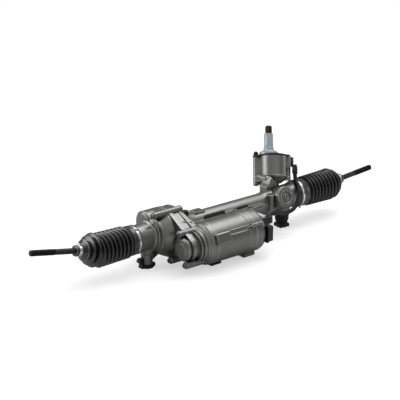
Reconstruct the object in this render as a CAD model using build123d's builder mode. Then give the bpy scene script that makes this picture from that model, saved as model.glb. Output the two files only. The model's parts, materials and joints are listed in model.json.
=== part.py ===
"""Electric power steering rack with a belt-driven ball nut, millimetres, +Z up, +X towards the pinion.

The origin is midway between the two vertical mounting bolts, on the plane that the rack is bolted to.
"""

import os
from math import atan, cos, pi, radians, sin, tan

from build123d import *

os.makedirs("parts", exist_ok=True)

# ---- driving dimensions ----------------------------------------------------------------------------
mount_spacing = 425.0  # between the mounting bolts
rack_height = 75.0  # rack axis above the mounting plane
left_lip = -247.5  # where each boot ends on the housing
right_lip = 250.0
rack_radius = 13.5
rack_travel = 75.0  # each way from the middle

motor_y = -86.0  # motor axis, in front of the rack and below it
motor_z = 58.0
motor_radius = 50.0
joint_plane = -163.5  # where the gearbox cover meets the main housing
motor_face = -126.0
motor_end = 4.0
control_end = 36.0

pinion_x = 185.0  # where the pinion axis passes the rack
pinion_lean = 22.0  # degrees back from vertical, seen along the rack
pinion_slant = 17.5  # degrees along the rack, so the rack teeth are slanted as much
pinion_teeth = 8
tooth_module = 2.1
profile_shift = 0.5
pressure_angle = 20.0
backlash = 0.15

tube_radius = 25.0
boot_seat_radius = 29.5
left_ball_offset = 100.0  # ball centres beyond the housing lips
right_ball_offset = 105.0
rod_length = 180.0  # from the ball centre to the end of the thread
rod_radius = 7.0  # over the thread
shank_radius = 6.6
thread_length = 65.0
left_rod_rise = 10.5  # degrees that each tie rod stands up in the rest pose
right_rod_rise = 3.0
rod_sweep = 2.5  # degrees that both tie rods point back
ball_radius = 13.0
socket_back = 24.0  # from the ball centre to the end of the rack

# ---- derived frames --------------------------------------------------------------------------------
slant = radians(pinion_slant)
lean = radians(pinion_lean)
pinion_direction = Vector(sin(slant), cos(slant) * sin(lean), cos(slant) * cos(lean))
yoke_direction = Vector(0, -cos(lean), sin(lean))
pitch_radius = pinion_teeth * tooth_module / 2
rack_pitch_height = 8.0  # from the rack axis to the pitch line of its teeth
centre_distance = rack_pitch_height + pitch_radius + profile_shift * tooth_module
rack_centre = Vector(0, 0, rack_height)
pinion_foot = Vector(pinion_x, 0, rack_height) - yoke_direction * centre_distance
left_ball_x = left_lip - left_ball_offset
right_ball_x = right_lip + right_ball_offset
pot_centre = (8.8, -6.6)  # the sensor housing stands beside the pinion axis


def rod_plane(side, ball_x, rise):
    """The plane whose z axis runs along a tie rod from its ball centre."""
    sweep_angle = radians(rod_sweep)
    level = cos(radians(rise))
    direction = Vector(side * level * cos(sweep_angle), level * sin(sweep_angle), sin(radians(rise)))
    return Plane(origin=(ball_x, 0, rack_height), x_dir=Vector(0, 0, 1).cross(direction), z_dir=direction)


rack_line = Plane(origin=rack_centre, x_dir=(0, 1, 0), z_dir=(1, 0, 0))
motor_line = Plane(origin=(0, motor_y, motor_z), x_dir=(0, 1, 0), z_dir=(1, 0, 0))
across_pinion = Vector(1, 0, 0) - pinion_direction * sin(slant)
pinion_line = Plane(origin=pinion_foot, x_dir=across_pinion, z_dir=pinion_direction)
yoke_line = Plane(origin=(pinion_x, 0, rack_height), x_dir=(1, 0, 0), z_dir=yoke_direction)
pot_line = Plane(
    origin=pinion_foot + pinion_line.x_dir * pot_centre[0] + pinion_line.y_dir * pot_centre[1],
    x_dir=pinion_line.x_dir,
    z_dir=pinion_direction,
)
left_rod_line = rod_plane(-1, left_ball_x, left_rod_rise)
right_rod_line = rod_plane(1, right_ball_x, right_rod_rise)
left_end_line = Plane(origin=(left_lip, 0, rack_height), x_dir=(0, 1, 0), z_dir=(-1, 0, 0))
right_end_line = Plane(origin=(right_lip, 0, rack_height), x_dir=(0, 1, 0), z_dir=(1, 0, 0))


# ---- shared operations -----------------------------------------------------------------------------
def turn(line, outline, mode=Mode.ADD):
    """Revolve an outline of (distance along the axis, radius) about the z axis of a plane."""
    profile_plane = Plane(origin=line.origin, x_dir=line.z_dir, z_dir=line.x_dir)
    with BuildSketch(profile_plane) as profile:
        with BuildLine():
            Polyline(*outline, close=True)
        make_face()
    revolve(profile.sketch, axis=Axis(line.origin, line.z_dir), mode=mode)


def bar(line, start, end, radius, at=(0, 0), mode=Mode.ADD):
    """A round bar along the z axis of a plane, beside that axis by at."""
    with Locations(line.offset(start)):
        with Locations(at):
            Cylinder(radius, end - start, align=(Align.CENTER, Align.CENTER, Align.MIN), mode=mode)


def ring(line, start, end, outer, inner, at=(0, 0)):
    """A plain ring along the z axis of a plane."""
    with BuildSketch(line.offset(start)) as section:
        with Locations(at):
            Circle(outer)
            Circle(inner, mode=Mode.SUBTRACT)
    extrude(section.sketch, end - start)


def block(corner, opposite, mode=Mode.ADD):
    """A box between two corners."""
    size = [abs(b - a) for a, b in zip(corner, opposite)]
    middle = [(a + b) / 2 for a, b in zip(corner, opposite)]
    with Locations(tuple(middle)):
        Box(*size, mode=mode)


def hexagon(line, start, end, flats, at=(0, 0), mode=Mode.ADD):
    """A hexagonal prism along the z axis of a plane."""
    with BuildSketch(line.offset(start)) as section:
        with Locations(at):
            RegularPolygon(flats / 2, 6, major_radius=False)
    extrude(section.sketch, end - start, mode=mode)


def belt_outline(line, distance, rack_side, motor_side):
    """The outline round both pulleys: two circles and their tangents."""
    with BuildSketch(line.offset(distance)) as outline:
        Circle(rack_side)
        with Locations((motor_y, motor_z - rack_height)):
            Circle(motor_side)
        make_hull()
    return outline.sketch


def finish(builder, name):
    builder.part.label = name
    export_step(builder.part, f"parts/{name}.step")


# Bolts that close the belt case, as (y, z) from the rack axis.
case_bolts = {
    "upper": (-20, 52),
    "middle": (-78, 17),
    "lower": (-43, -56),
    "foot": (-102, -50),
    "rear": (58, -27),
}
bolt_seats = {"upper": -208.0, "middle": -183.0, "lower": -178.0, "foot": -182.0, "rear": -180.0}
boss_ends = {"upper": -128.0, "middle": -126.0, "lower": -150.0, "foot": -126.0, "rear": -150.0}
flange_bolts = {"front": 33, "below": 290, "behind": 175}  # degrees round the motor, from level at the front
flange_bolt_circle = 54.0

core_radius = 8.0
bolt_radius = 4.0
boss_radius = 8.5
vent_place = (-104, -8)
vent_seat = 107.0
rail_slots = [(-62, -4), (38, 92)]

# ---- gearbox cover ---------------------------------------------------------------------------------
cover_bore = 24.0
bearing_outer = 39.0
bearing_inner = 26.0
cap_radius = 17.5
flange_depth = 5.0
with BuildPart() as gearbox_cover:
    turn(
        rack_line,
        [
            (left_lip - 14, cover_bore),
            (left_lip - 14, boot_seat_radius - 1.5),
            (left_lip - 12.5, boot_seat_radius),
            (left_lip, boot_seat_radius),
            (left_lip, 31.5),
            (-213.5, 32.5),
            (-212, 35.5),
            (-210.5, 36.2),
            (-208.5, 36.2),
            (-207.5, 34.8),
            (-206, 34.8),
            (-204.5, 38.2),
            (-203, 38.8),
            (-201.5, 38.2),
            (-200.5, 41),
            (-199.5, 45),
            (-198, 46.2),
            (-195.5, 46.2),
            (-194.5, 45.2),
            (-173.5, 55.6),
            (joint_plane, 55.6),
            (joint_plane, bearing_outer),
            (-196, bearing_outer),
            (-196, 20),
            (-240, 20),
            (-240, cover_bore),
        ],
    )
    extrude(belt_outline(rack_line, joint_plane - flange_depth, 58, 30), flange_depth)
    # A dome behind the ball nut bearing, rounded over at its end.
    with BuildSketch(rack_line.offset(-203)) as dome:
        with Locations((20, 22)):
            Circle(30)
    extrude(dome.sketch, joint_plane + 203)
    with BuildSketch(rack_line.offset(-208)) as dome_end:
        with Locations((20, 22)):
            Circle(24)
    loft([dome_end.sketch.face(), dome.sketch.face()])
    turn(
        motor_line,
        [
            (-182, 0),
            (-182, 20),
            (-180.5, 24.5),
            (-178.5, 27.6),
            (-177, 28.2),
            (-175.5, 27.6),
            (-174.5, 25.5),
            (joint_plane, 25.5),
            (joint_plane, 0),
        ],
    )
    for name, place in case_bolts.items():
        bar(rack_line, bolt_seats[name], joint_plane, boss_radius, at=place)
    # The left mounting foot, an eye on a neck that widens into the tube, with a web to the case.
    with BuildSketch(Plane.XY.offset(rack_height - 25)) as post_top:
        with Locations((-mount_spacing / 2 + 3, 0)):
            Ellipse(20, 22)
    with BuildSketch(Plane.XY.offset(30)) as post_neck:
        with Locations((-mount_spacing / 2, 0)):
            Ellipse(13.5, 15)
    loft([post_top.sketch.face(), post_neck.sketch.face()])
    bar(Plane.XY, 10, 31, 13.8, at=(-mount_spacing / 2, 0))
    with BuildSketch(Plane.XZ) as web:
        with BuildLine():
            Polyline((-201, 14), (-198, 14), (-176, 26), (-176, 50), (-201, 50), close=True)
        make_face()
    extrude(web.sketch, 3, both=True)
    bar(rack_line, left_lip - 15, -240, cover_bore, mode=Mode.SUBTRACT)
    bar(rack_line, -240, -196, 20, mode=Mode.SUBTRACT)
    bar(rack_line, -196, joint_plane, bearing_outer, mode=Mode.SUBTRACT)
    bar(motor_line, -178, joint_plane, 15, mode=Mode.SUBTRACT)
    bar(motor_line, -183, -178, cap_radius, mode=Mode.SUBTRACT)
    extrude(belt_outline(rack_line, joint_plane - 4, 50, 24), 4, mode=Mode.SUBTRACT)
    bar(Plane.XY, 10, 40, core_radius, at=(-mount_spacing / 2, 0), mode=Mode.SUBTRACT)
    for place in case_bolts.values():
        bar(rack_line, -210, joint_plane, bolt_radius, at=place, mode=Mode.SUBTRACT)
finish(gearbox_cover, "gearbox_cover")

with BuildPart() as pulley_access_cap:
    turn(
        motor_line,
        [
            (-182.4, 0),
            (-182.4, cap_radius - 2.5),
            (-181.2, cap_radius - 1.5),
            (-181.2, cap_radius),
            (-178, cap_radius),
            (-178, cap_radius - 2),
            (-180, cap_radius - 3),
            (-180, 0),
        ],
    )
finish(pulley_access_cap, "pulley_access_cap")

# ---- main housing ----------------------------------------------------------------------------------
belt_case_end = -136.0
right_bush_outer = 20.0
pot_radius = 35.0
pot_base = 58.0
pot_top = 109.0
pot_lugs = {"left": (-25.6, 19.2), "right": (36.8, -27.6)}
yoke_bore = 14.0
yoke_plug_radius = 15.5
with BuildPart() as main_housing:
    # The belt case, with a flange at the joint and a rim at its other end.
    extrude(belt_outline(rack_line, joint_plane, 58, 30), flange_depth)
    extrude(belt_outline(rack_line, joint_plane, 55.5, 28), belt_case_end - joint_plane)
    extrude(belt_outline(rack_line, belt_case_end - 4, 57, 33), 4)
    turn(
        rack_line,
        [
            (belt_case_end, 0),
            (belt_case_end, 56),
            (-131, 50),
            (-126.5, 37),
            (-110, 31),
            (-95, 27),
            (-80, tube_radius),
            (140, tube_radius),
            (165, 29),
            (right_lip - 20, 30),
            (right_lip - 12, 31),
            (right_lip - 10, 31.5),
            (right_lip, 31.5),
            (right_lip, boot_seat_radius),
            (right_lip + 12.5, boot_seat_radius),
            (right_lip + 14, boot_seat_radius - 1.5),
            (right_lip + 14, 0),
        ],
    )
    # The neck towards the motor, turned in steps with a groove before each.
    turn(
        motor_line,
        [
            (-158, 0),
            (-158, 28.5),
            (-150, 28.5),
            (-148.5, 35.5),
            (-147, 36.8),
            (-145.5, 35.5),
            (-144.5, 33.5),
            (-142.5, 33.5),
            (-141, 37.5),
            (-139.5, 38.5),
            (-137.5, 38.5),
            (-136.5, 36.5),
            (-134, 37),
            (-131, 41.5),
            (-129, 42.5),
            (-128.5, 45),
            (-127.5, 46),
            (motor_face, 46),
            (motor_face, 0),
        ],
    )
    # The case wall runs down from the rack side to the motor side as one flank.
    with BuildSketch(rack_line.offset(belt_case_end)) as flank_root:
        Circle(50)
        with Locations((motor_y, motor_z - rack_height)):
            Circle(36)
        make_hull()
    extrude(flank_root.sketch, motor_face - belt_case_end)
    for name, place in case_bolts.items():
        bar(rack_line, joint_plane, boss_ends[name], boss_radius, at=place)
    # A rail beside the rack tube with two slots between, and a drilled lug on it.
    block((-130, -37, 79), (125, -15, 86))
    for start, end in rail_slots:
        with BuildSketch(Plane.XY.offset(79)) as slot:
            with Locations(((start + end) / 2, -30.5)):
                SlotOverall(end - start, 7.5)
        extrude(slot.sketch, 7, mode=Mode.SUBTRACT)
    with BuildSketch(Plane.XY.offset(80)) as lug:
        with Locations((18, -27)):
            RectangleRounded(30, 17, 4)
    extrude(lug.sketch, 9)
    bar(Plane.XY, 84, 89, 2.6, at=(27, -27), mode=Mode.SUBTRACT)
    block((-75, -12, 94), (-47, 12, 102.5))
    # Pinion tower, spread out under the sensor housing.
    turn(pinion_line, [(-36, 0), (-36, 17), (-34, 18), (-14, 18), (-6, 23), (40, 24), (50, 26), (50, 0)])
    turn(
        pot_line,
        [(43, 0), (43, 19), (49, 27), (53, 32.5), (55.5, 34.4), (pot_base, pot_radius), (pot_base, 0)],
    )
    bar(Plane.XY, 92, vent_seat, 8, at=vent_place)
    # The column of the left sensor screw, round at its foot, and the boss beside it.
    left_column = Plane(
        origin=pinion_foot + pinion_line.x_dir * pot_lugs["left"][0] + pinion_line.y_dir * pot_lugs["left"][1],
        x_dir=pinion_line.x_dir,
        z_dir=pinion_direction,
    )
    turn(left_column, [(35, 0), (35, 3), (36.5, 6), (39, 7.5), (pot_base, 7.5), (pot_base, 0)])
    with BuildSketch(pinion_line.offset(40)) as column_web:
        with Locations(pot_lugs["left"], (0, 0)):
            Circle(6.5)
        make_hull()
    extrude(column_web.sketch, 14)
    with BuildSketch(pinion_line.offset(50)) as right_lug:
        with Locations(pot_lugs["right"], pot_centre):
            Circle(7.2)
        make_hull()
    extrude(right_lug.sketch, pot_base - 50)
    boss_line = Plane(origin=(173, 12, 126.4), x_dir=(1, 0, 0), z_dir=(0, 1, 0))
    turn(boss_line, [(0, 0), (0, 5.6), (1, 6.6), (30, 6.6), (30, 0)])
    with BuildSketch(pinion_line.offset(44)) as boss_web:
        with Locations(pot_lugs["left"], (-28.7, -14)):
            Circle(5)
        make_hull()
    extrude(boss_web.sketch, 10)
    # Everything is cut level under the sensor housing, and the tower is cut back beside the right foot.
    bar(pinion_line, pot_base, pot_top, 60, mode=Mode.SUBTRACT)
    # A web from the tower down to the yoke housing, and a round boss in front of the tube.
    with BuildSketch(Plane.XZ.offset(-20)) as tower_web:
        with BuildLine():
            Polyline((174, 134), (196, 101), (196, 80), (156, 80), (157, 112), (165, 118), close=True)
        make_face()
    extrude(tower_web.sketch, 22)
    turn(
        Plane(origin=(152, -23, 58), x_dir=(1, 0, 0), z_dir=(0, 0, 1)),
        [(0, 0), (0, 8), (2, 10), (42, 10), (43, 9), (43, 0)],
    )
    # Yoke housing in front of the pinion.
    turn(yoke_line, [(0, 0), (0, 28.5), (38, 28), (44, 27), (46.5, 25.5), (47.5, 23), (47.5, 0)])
    # The right mounting foot.
    with BuildSketch(Plane.XY.offset(rack_height - 20)) as post_top:
        with Locations((mount_spacing / 2, 0)):
            Ellipse(24, 22)
    with BuildSketch(Plane.XY.offset(44)) as post_bottom:
        with Locations((mount_spacing / 2, 0)):
            Circle(19)
    loft([post_top.sketch.face(), post_bottom.sketch.face()])
    # Bores, from the belt case to the right boot.
    extrude(belt_outline(rack_line, joint_plane, 50, 24), 23.5, mode=Mode.SUBTRACT)
    bar(rack_line, joint_plane, 225, 16, mode=Mode.SUBTRACT)
    bar(rack_line, 225, 247, right_bush_outer, mode=Mode.SUBTRACT)
    bar(rack_line, 247, right_lip + 15, cover_bore, mode=Mode.SUBTRACT)
    bar(motor_line, -141, motor_face, 19, mode=Mode.SUBTRACT)
    bar(pinion_line, -37, -29, 15.5, mode=Mode.SUBTRACT)
    bar(Plane.XY, 98, vent_seat, 5, at=vent_place, mode=Mode.SUBTRACT)
    bar(pinion_line, -29, -19, 14, mode=Mode.SUBTRACT)
    bar(pinion_line, -19, 19, 12.6, mode=Mode.SUBTRACT)
    bar(pinion_line, 19, pot_base, 19, mode=Mode.SUBTRACT)
    bar(yoke_line, 0, 38, yoke_bore, mode=Mode.SUBTRACT)
    bar(yoke_line, 38, 48, yoke_plug_radius, mode=Mode.SUBTRACT)
    with Locations(yoke_line.offset(46.5)):
        with PolarLocations(19.5, 4, start_angle=20):
            Cylinder(1.6, 1.5, align=(Align.CENTER, Align.CENTER, Align.MIN), mode=Mode.SUBTRACT)
    bar(Plane.XY, 43, 55, core_radius, at=(mount_spacing / 2, 0), mode=Mode.SUBTRACT)
    bar(Plane.XY, 20, 44, 20, at=(mount_spacing / 2, 0), mode=Mode.SUBTRACT)
    for place in case_bolts.values():
        bar(rack_line, joint_plane, joint_plane + 12, bolt_radius, at=place, mode=Mode.SUBTRACT)
finish(main_housing, "main_housing")

with BuildPart() as vent_plug:
    bar(Plane.XY, 98, vent_seat, 5, at=vent_place)
    bar(Plane.XY, vent_seat, vent_seat + 5, 6.5, at=vent_place)
finish(vent_plug, "vent_plug")

# ---- mounting bushes -------------------------------------------------------------------------------
with BuildPart() as left_mount_bush:
    ring(Plane.XY, 0, 7, 16.5, core_radius, at=(-mount_spacing / 2, 0))
    ring(Plane.XY, 7, 10, 13.5, core_radius, at=(-mount_spacing / 2, 0))
    # Stop lobes moulded on its edge, the one towards the boot standing up beside the foot.
    with BuildSketch(Plane.XZ.offset(-7)) as side_lobe:
        with BuildLine():
            Polyline(
                (-226, 0),
                (-231, 0),
                (-232.5, 2.5),
                (-231.5, 6.5),
                (-229.5, 9),
                (-231.5, 12),
                (-236, 13.5),
                (-238, 17),
                (-236.5, 22),
                (-232, 24.5),
                (-227, 24.5),
                (-227, 9),
                (-226, 7),
                close=True,
            )
        make_face()
    extrude(side_lobe.sketch, 14)
    bar(Plane.XY, 0, 9.5, 5, at=(-mount_spacing / 2 + 15, -5))
    bar(Plane.XY, 0, 8.5, 5, at=(-mount_spacing / 2 + 2, 15))
    bar(Plane.XY, 0, 10, core_radius, at=(-mount_spacing / 2, 0), mode=Mode.SUBTRACT)
finish(left_mount_bush, "left_mount_bush")

with BuildPart() as right_mount_bush:
    turn(
        Plane(origin=(mount_spacing / 2, 0, 0), x_dir=(1, 0, 0), z_dir=(0, 0, 1)),
        [
            (0, 0),
            (0, 14.5),
            (2, 15.5),
            (5.5, 15.5),
            (8, 13.5),
            (12, 14.5),
            (20, 17),
            (30, 18.5),
            (44, 19.3),
            (44, 0),
        ],
    )
    for angle in (40, 130, 220, 310):
        with Locations(Location((mount_spacing / 2, 0, 0), (0, 0, angle))):
            with Locations((15, 0, 0)):
                Cylinder(4.5, 9, align=(Align.CENTER, Align.CENTER, Align.MIN))
    bar(Plane.XY, 0, 44, core_radius, at=(mount_spacing / 2, 0), mode=Mode.SUBTRACT)
finish(right_mount_bush, "right_mount_bush")

thread_core_radius = 5.1  # tapping size of the M12 thread
with BuildPart() as mount_cores:
    for side in (-1, 1):
        top = 40 if side < 0 else 55
        bar(Plane.XY, 0, top, core_radius, at=(side * mount_spacing / 2, 0))
        bar(Plane.XY, 0, 34, thread_core_radius, at=(side * mount_spacing / 2, 0), mode=Mode.SUBTRACT)
finish(mount_cores, "mount_cores")

# ---- rack and its supports -------------------------------------------------------------------------
rack_end_left = left_ball_x + socket_back
rack_end_right = right_ball_x - socket_back
tooth_pitch = pi * tooth_module
rack_pitch = tooth_pitch / cos(slant)
tip_height = 0.95 * tooth_module
root_depth = 1.25 * tooth_module
flank = tan(radians(pressure_angle))
reference = -(pitch_radius + profile_shift * tooth_module)
gaps_each_way = 14
with BuildPart() as rack_bar:
    bar(rack_line, rack_end_left, rack_end_right, rack_radius)
    tooth_tips = reference + tip_height
    tooth_roots = reference - root_depth
    half_gap = tooth_pitch / 4
    with BuildSketch(pinion_line) as gap:
        with BuildLine():
            Polyline(
                (-half_gap - flank * (tip_height + 1), tooth_tips + 1),
                (-half_gap + flank * root_depth, tooth_roots),
                (half_gap - flank * root_depth, tooth_roots),
                (half_gap + flank * (tip_height + 1), tooth_tips + 1),
                close=True,
            )
        make_face()
    gap_cutter = extrude(gap.sketch, 22, both=True, mode=Mode.PRIVATE)
    half_length = (gaps_each_way + 0.5) * rack_pitch
    tooth_face = Plane(origin=pinion_foot - yoke_direction * tooth_tips, x_dir=(1, 0, 0), z_dir=-yoke_direction)
    with Locations(tooth_face):
        Box(2 * half_length, 40, 10, align=(Align.CENTER, Align.CENTER, Align.MIN), mode=Mode.SUBTRACT)
    for index in range(-gaps_each_way, gaps_each_way + 1):
        add(gap_cutter.moved(Location((index * rack_pitch, 0, 0))), mode=Mode.SUBTRACT)
finish(rack_bar, "rack_bar")

with BuildPart() as rack_bush:
    ring(rack_line, 225, 247, right_bush_outer, rack_radius + 0.08)
finish(rack_bush, "rack_bush")

# At full travel each ball socket comes within half a millimetre of its stop.
left_stop = left_ball_x + socket_back + rack_travel + 0.5
right_stop = right_ball_x - socket_back - rack_travel - 0.5
with BuildPart() as rack_stops:
    ring(rack_line, left_stop, -240, cover_bore, rack_radius + 1)
    ring(rack_line, 247, right_stop, cover_bore, rack_radius + 1)
finish(rack_stops, "rack_stops")

# ---- ball nut drive --------------------------------------------------------------------------------
pulley_ratio = 2.6
large_pulley_radius = 42.0
small_pulley_radius = large_pulley_radius / pulley_ratio
belt_gap = 0.15
belt_thickness = 3.6
with BuildPart() as ball_nut_bearing:
    ring(rack_line, -196, -180, bearing_outer, bearing_inner)
finish(ball_nut_bearing, "ball_nut_bearing")

with BuildPart() as ball_nut:
    turn(
        rack_line,
        [
            (-195, rack_radius + 0.3),
            (-195, bearing_inner - 0.05),
            (-179.6, bearing_inner - 0.05),
            (-179.6, 30),
            (-167, 30),
            (-167, 25),
            (-142.5, 25),
            (-142.5, rack_radius + 0.3),
        ],
    )
finish(ball_nut, "ball_nut")

with BuildPart() as large_pulley:
    turn(
        rack_line,
        [
            (-167, 25),
            (-167, 44),
            (-165, 44),
            (-165, large_pulley_radius),
            (-143.5, large_pulley_radius),
            (-143.5, 44),
            (-142.5, 44),
            (-142.5, 25),
        ],
    )
finish(large_pulley, "large_pulley")

belt_grow = belt_gap + belt_thickness
with BuildPart() as drive_belt:
    outer = belt_outline(rack_line, -164, large_pulley_radius + belt_grow, small_pulley_radius + belt_grow)
    extrude(outer, 20)
    inner = belt_outline(rack_line, -164, large_pulley_radius + belt_gap, small_pulley_radius + belt_gap)
    extrude(inner, 20, mode=Mode.SUBTRACT)
finish(drive_belt, "drive_belt")

shaft_radius = 6.0


def flange_ear(angle):
    """The axis of one screw of the control unit, its x axis pointing at the motor axis."""
    outward = Vector(0, -cos(radians(angle)), sin(radians(angle)))
    origin = Vector(0, motor_y, motor_z) + outward * flange_bolt_circle
    return Plane(origin=origin, x_dir=-outward, z_dir=(1, 0, 0))


with BuildPart() as small_pulley:
    turn(
        motor_line,
        [
            (-166, shaft_radius),
            (-166, 18),
            (-165, 18),
            (-165, small_pulley_radius),
            (-143, small_pulley_radius),
            (-143, 18),
            (-142, 18),
            (-142, shaft_radius),
        ],
    )
finish(small_pulley, "small_pulley")

# ---- motor -----------------------------------------------------------------------------------------
motor_bore = 45.0
front_wall = -118.0
core_start = -98.0
core_end = -30.0
rotor_radius = 22.0
with BuildPart() as motor_shaft:
    turn(
        motor_line,
        [
            (-172, 0),
            (-172, 5),
            (-171, shaft_radius),
            (-108, shaft_radius),
            (-108, 8),
            (-20, 8),
            (-20, shaft_radius),
            (-4, shaft_radius),
            (-4, 0),
        ],
    )
finish(motor_shaft, "motor_shaft")

with BuildPart() as rotor:
    ring(motor_line, core_start, core_end, rotor_radius, 8)
finish(rotor, "rotor")

with BuildPart() as motor_housing:
    turn(
        motor_line,
        [
            (motor_face, 0),
            (motor_face, 46),
            (-124.5, 48),
            (-122, 49.2),
            (-110.8, 49.8),
            (-110.4, 49.2),
            (-109.8, 49.2),
            (-109.4, 49.8),
            (-22, motor_radius),
            (-14, 50.4),
            (-12, 51.8),
            (-10, 52.2),
            (motor_end, 52.2),
            (motor_end, 0),
        ],
    )
    # Connecting pad on the front of the barrel, with two ribs beside it.
    pad_direction = (0, -cos(radians(24)), sin(radians(24)))
    pad_plane = Plane(origin=(-95, motor_y, motor_z), x_dir=(1, 0, 0), z_dir=pad_direction)
    with BuildSketch(pad_plane.offset(motor_radius - 12)) as pad:
        RectangleRounded(42, 25, 3)
    extrude(pad.sketch, 16)
    with BuildSketch(pad_plane.offset(motor_radius + 4)) as pad_crown:
        RectangleRounded(42, 25, 3)
    extrude(pad_crown.sketch, 1.5, taper=50)
    for offset, length in ((12.5, 60), (2, 64)):
        with BuildSketch(pad_plane.offset(motor_radius - 6)) as rib:
            with Locations((24 + length / 2, offset)):
                Rectangle(length, 1.4)
        extrude(rib.sketch, 6.6)
    # Ears for the screws that hold the control unit, each on a web that runs out along the barrel.
    for angle in flange_bolts.values():
        ear = flange_ear(angle)
        bar(ear, -10, motor_end, 5.6)
        with BuildSketch(Plane(origin=ear.origin, x_dir=ear.z_dir, z_dir=ear.y_dir).offset(-1.6)) as web:
            with BuildLine():
                Polyline((-26, 5), (-10, -4.5), (-9, -4.5), (-9, 9), (-26, 9), close=True)
            make_face()
        extrude(web.sketch, 3.2)
        bar(ear, -8, motor_end, 2.5, mode=Mode.SUBTRACT)
    # Feet under the barrel.
    block((-98, -94, 0), (-68, -72, 20))
    bar(motor_line, front_wall, motor_end, motor_bore, mode=Mode.SUBTRACT)
    bar(motor_line, motor_face, front_wall, shaft_radius + 1.5, mode=Mode.SUBTRACT)
finish(motor_housing, "motor_housing")

with BuildPart() as motor_bearings:
    ring(motor_line, front_wall, -109, 16, shaft_radius + 0.03)
    ring(motor_line, -19, -11, 16, shaft_radius + 0.03)
finish(motor_bearings, "motor_bearings")

with BuildPart() as stator_core:
    ring(motor_line, core_start, core_end, motor_bore, 23)
finish(stator_core, "stator_core")

with BuildPart() as stator_windings:
    ring(motor_line, core_start - 9, core_start, 40, 27)
    ring(motor_line, core_end, core_end + 9, 40, 27)
finish(stator_windings, "stator_windings")

with BuildPart() as bearing_carriers:
    ring(motor_line, front_wall, -111, 22, 16)
    turn(
        motor_line,
        [(-21, 16), (-21, 20), (-8, 20), (-2, motor_bore), (motor_end, motor_bore), (motor_end, 16)],
    )
finish(bearing_carriers, "bearing_carriers")

# ---- control unit ----------------------------------------------------------------------------------
with BuildPart() as control_housing:
    turn(
        motor_line,
        [
            (motor_end, 47),
            (motor_end, 52),
            (motor_end + 3, 52),
            (motor_end + 4, 51),
            (control_end - 8, 50.5),
            (control_end - 3, 49),
            (control_end, 45),
            (control_end, 0),
            (control_end - 4, 0),
            (control_end - 4, 44),
            (control_end - 10, 47),
        ],
    )
    for angle in flange_bolts.values():
        ear = flange_ear(angle)
        bar(ear, motor_end, 22, 5.6)
        bar(ear, motor_end, 14, 2.5, mode=Mode.SUBTRACT)
        bar(ear, 14, 22, 4, mode=Mode.SUBTRACT)
    block((motor_end + 2, -98, 0), (control_end - 6, -76, 12))
    bar(motor_line, motor_end, control_end - 10, 47, mode=Mode.SUBTRACT)
finish(control_housing, "control_housing")

with BuildPart() as control_board:
    bar(motor_line, 12, 14, 44)
finish(control_board, "control_board")

with BuildPart() as power_connector:
    # A hooded socket with two blades, open away from the motor.
    with BuildSketch(Plane.YZ.offset(control_end)) as hood:
        with Locations((-127.5, 57)):
            RectangleRounded(24, 38, 4)
    extrude(hood.sketch, 16)
    with BuildSketch(Plane.YZ.offset(control_end)) as hood_foot:
        with Locations((-127.5, 57)):
            RectangleRounded(27, 42, 5)
    extrude(hood_foot.sketch, 3)
    with BuildSketch(Plane.YZ.offset(control_end + 5)) as hood_mouth:
        with Locations((-127.5, 57)):
            RectangleRounded(19, 33, 2.5)
    extrude(hood_mouth.sketch, 11, mode=Mode.SUBTRACT)
    for height in (48, 66):
        block((control_end + 4, -129, height - 4.5), (control_end + 14, -126, height + 4.5))
finish(power_connector, "power_connector")

with BuildPart() as signal_connector:
    with BuildSketch(Plane.YZ.offset(control_end)) as shroud:
        with Locations((-92, 77)):
            RectangleRounded(40, 21, 3)
    extrude(shroud.sketch, 20)
    with BuildSketch(Plane.YZ.offset(control_end + 3)) as shroud_lip:
        with Locations((-92, 77)):
            RectangleRounded(43, 24, 4)
    extrude(shroud_lip.sketch, 3)
finish(signal_connector, "signal_connector")

# ---- yoke ------------------------------------------------------------------------------------------
yoke_start = 4.0
yoke_end = 33.0
with BuildPart() as yoke:
    bar(yoke_line, yoke_start, yoke_end, yoke_bore - 0.03)
    bar(rack_line, pinion_x - 20, pinion_x + 20, rack_radius + 0.05, mode=Mode.SUBTRACT)
    bar(yoke_line, yoke_end - 8, yoke_end, 8, mode=Mode.SUBTRACT)
finish(yoke, "yoke")

with BuildPart() as yoke_spring:
    for step in range(3):
        start = yoke_end - 8 + step * 4
        turn(yoke_line, [(start, 4), (start, 5.2), (start + 4, 7.8), (start + 4, 6.6)])
finish(yoke_spring, "yoke_spring")

with BuildPart() as yoke_plug:
    turn(
        yoke_line,
        [
            (38, 0),
            (38, yoke_plug_radius),
            (46.5, yoke_plug_radius),
            (46.5, 13.5),
            (45, 12.5),
            (45, 10.5),
            (46.2, 9.5),
            (46.2, 0),
        ],
    )
    hexagon(yoke_line, 41, 46.2, 10, mode=Mode.SUBTRACT)
finish(yoke_plug, "yoke_plug")

# ---- pinion and its bearings -----------------------------------------------------------------------
torsion_radius = 2.6
base_radius = pitch_radius * cos(radians(pressure_angle))
tip_radius = pitch_radius + (0.95 + profile_shift) * tooth_module
root_radius = pitch_radius - (1.25 - profile_shift) * tooth_module
tooth_thickness = tooth_module * (pi / 2 + 2 * profile_shift * flank) - backlash
half_tooth_angle = tooth_thickness / (2 * pitch_radius) + flank - radians(pressure_angle)


def involute_point(radius, side):
    """A point on the tooth flank at a radius, the tooth standing along -y."""
    roll = (radius**2 / base_radius**2 - 1) ** 0.5
    angle = half_tooth_angle - (roll - atan(roll))
    return (side * radius * sin(angle), -radius * cos(angle))


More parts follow.
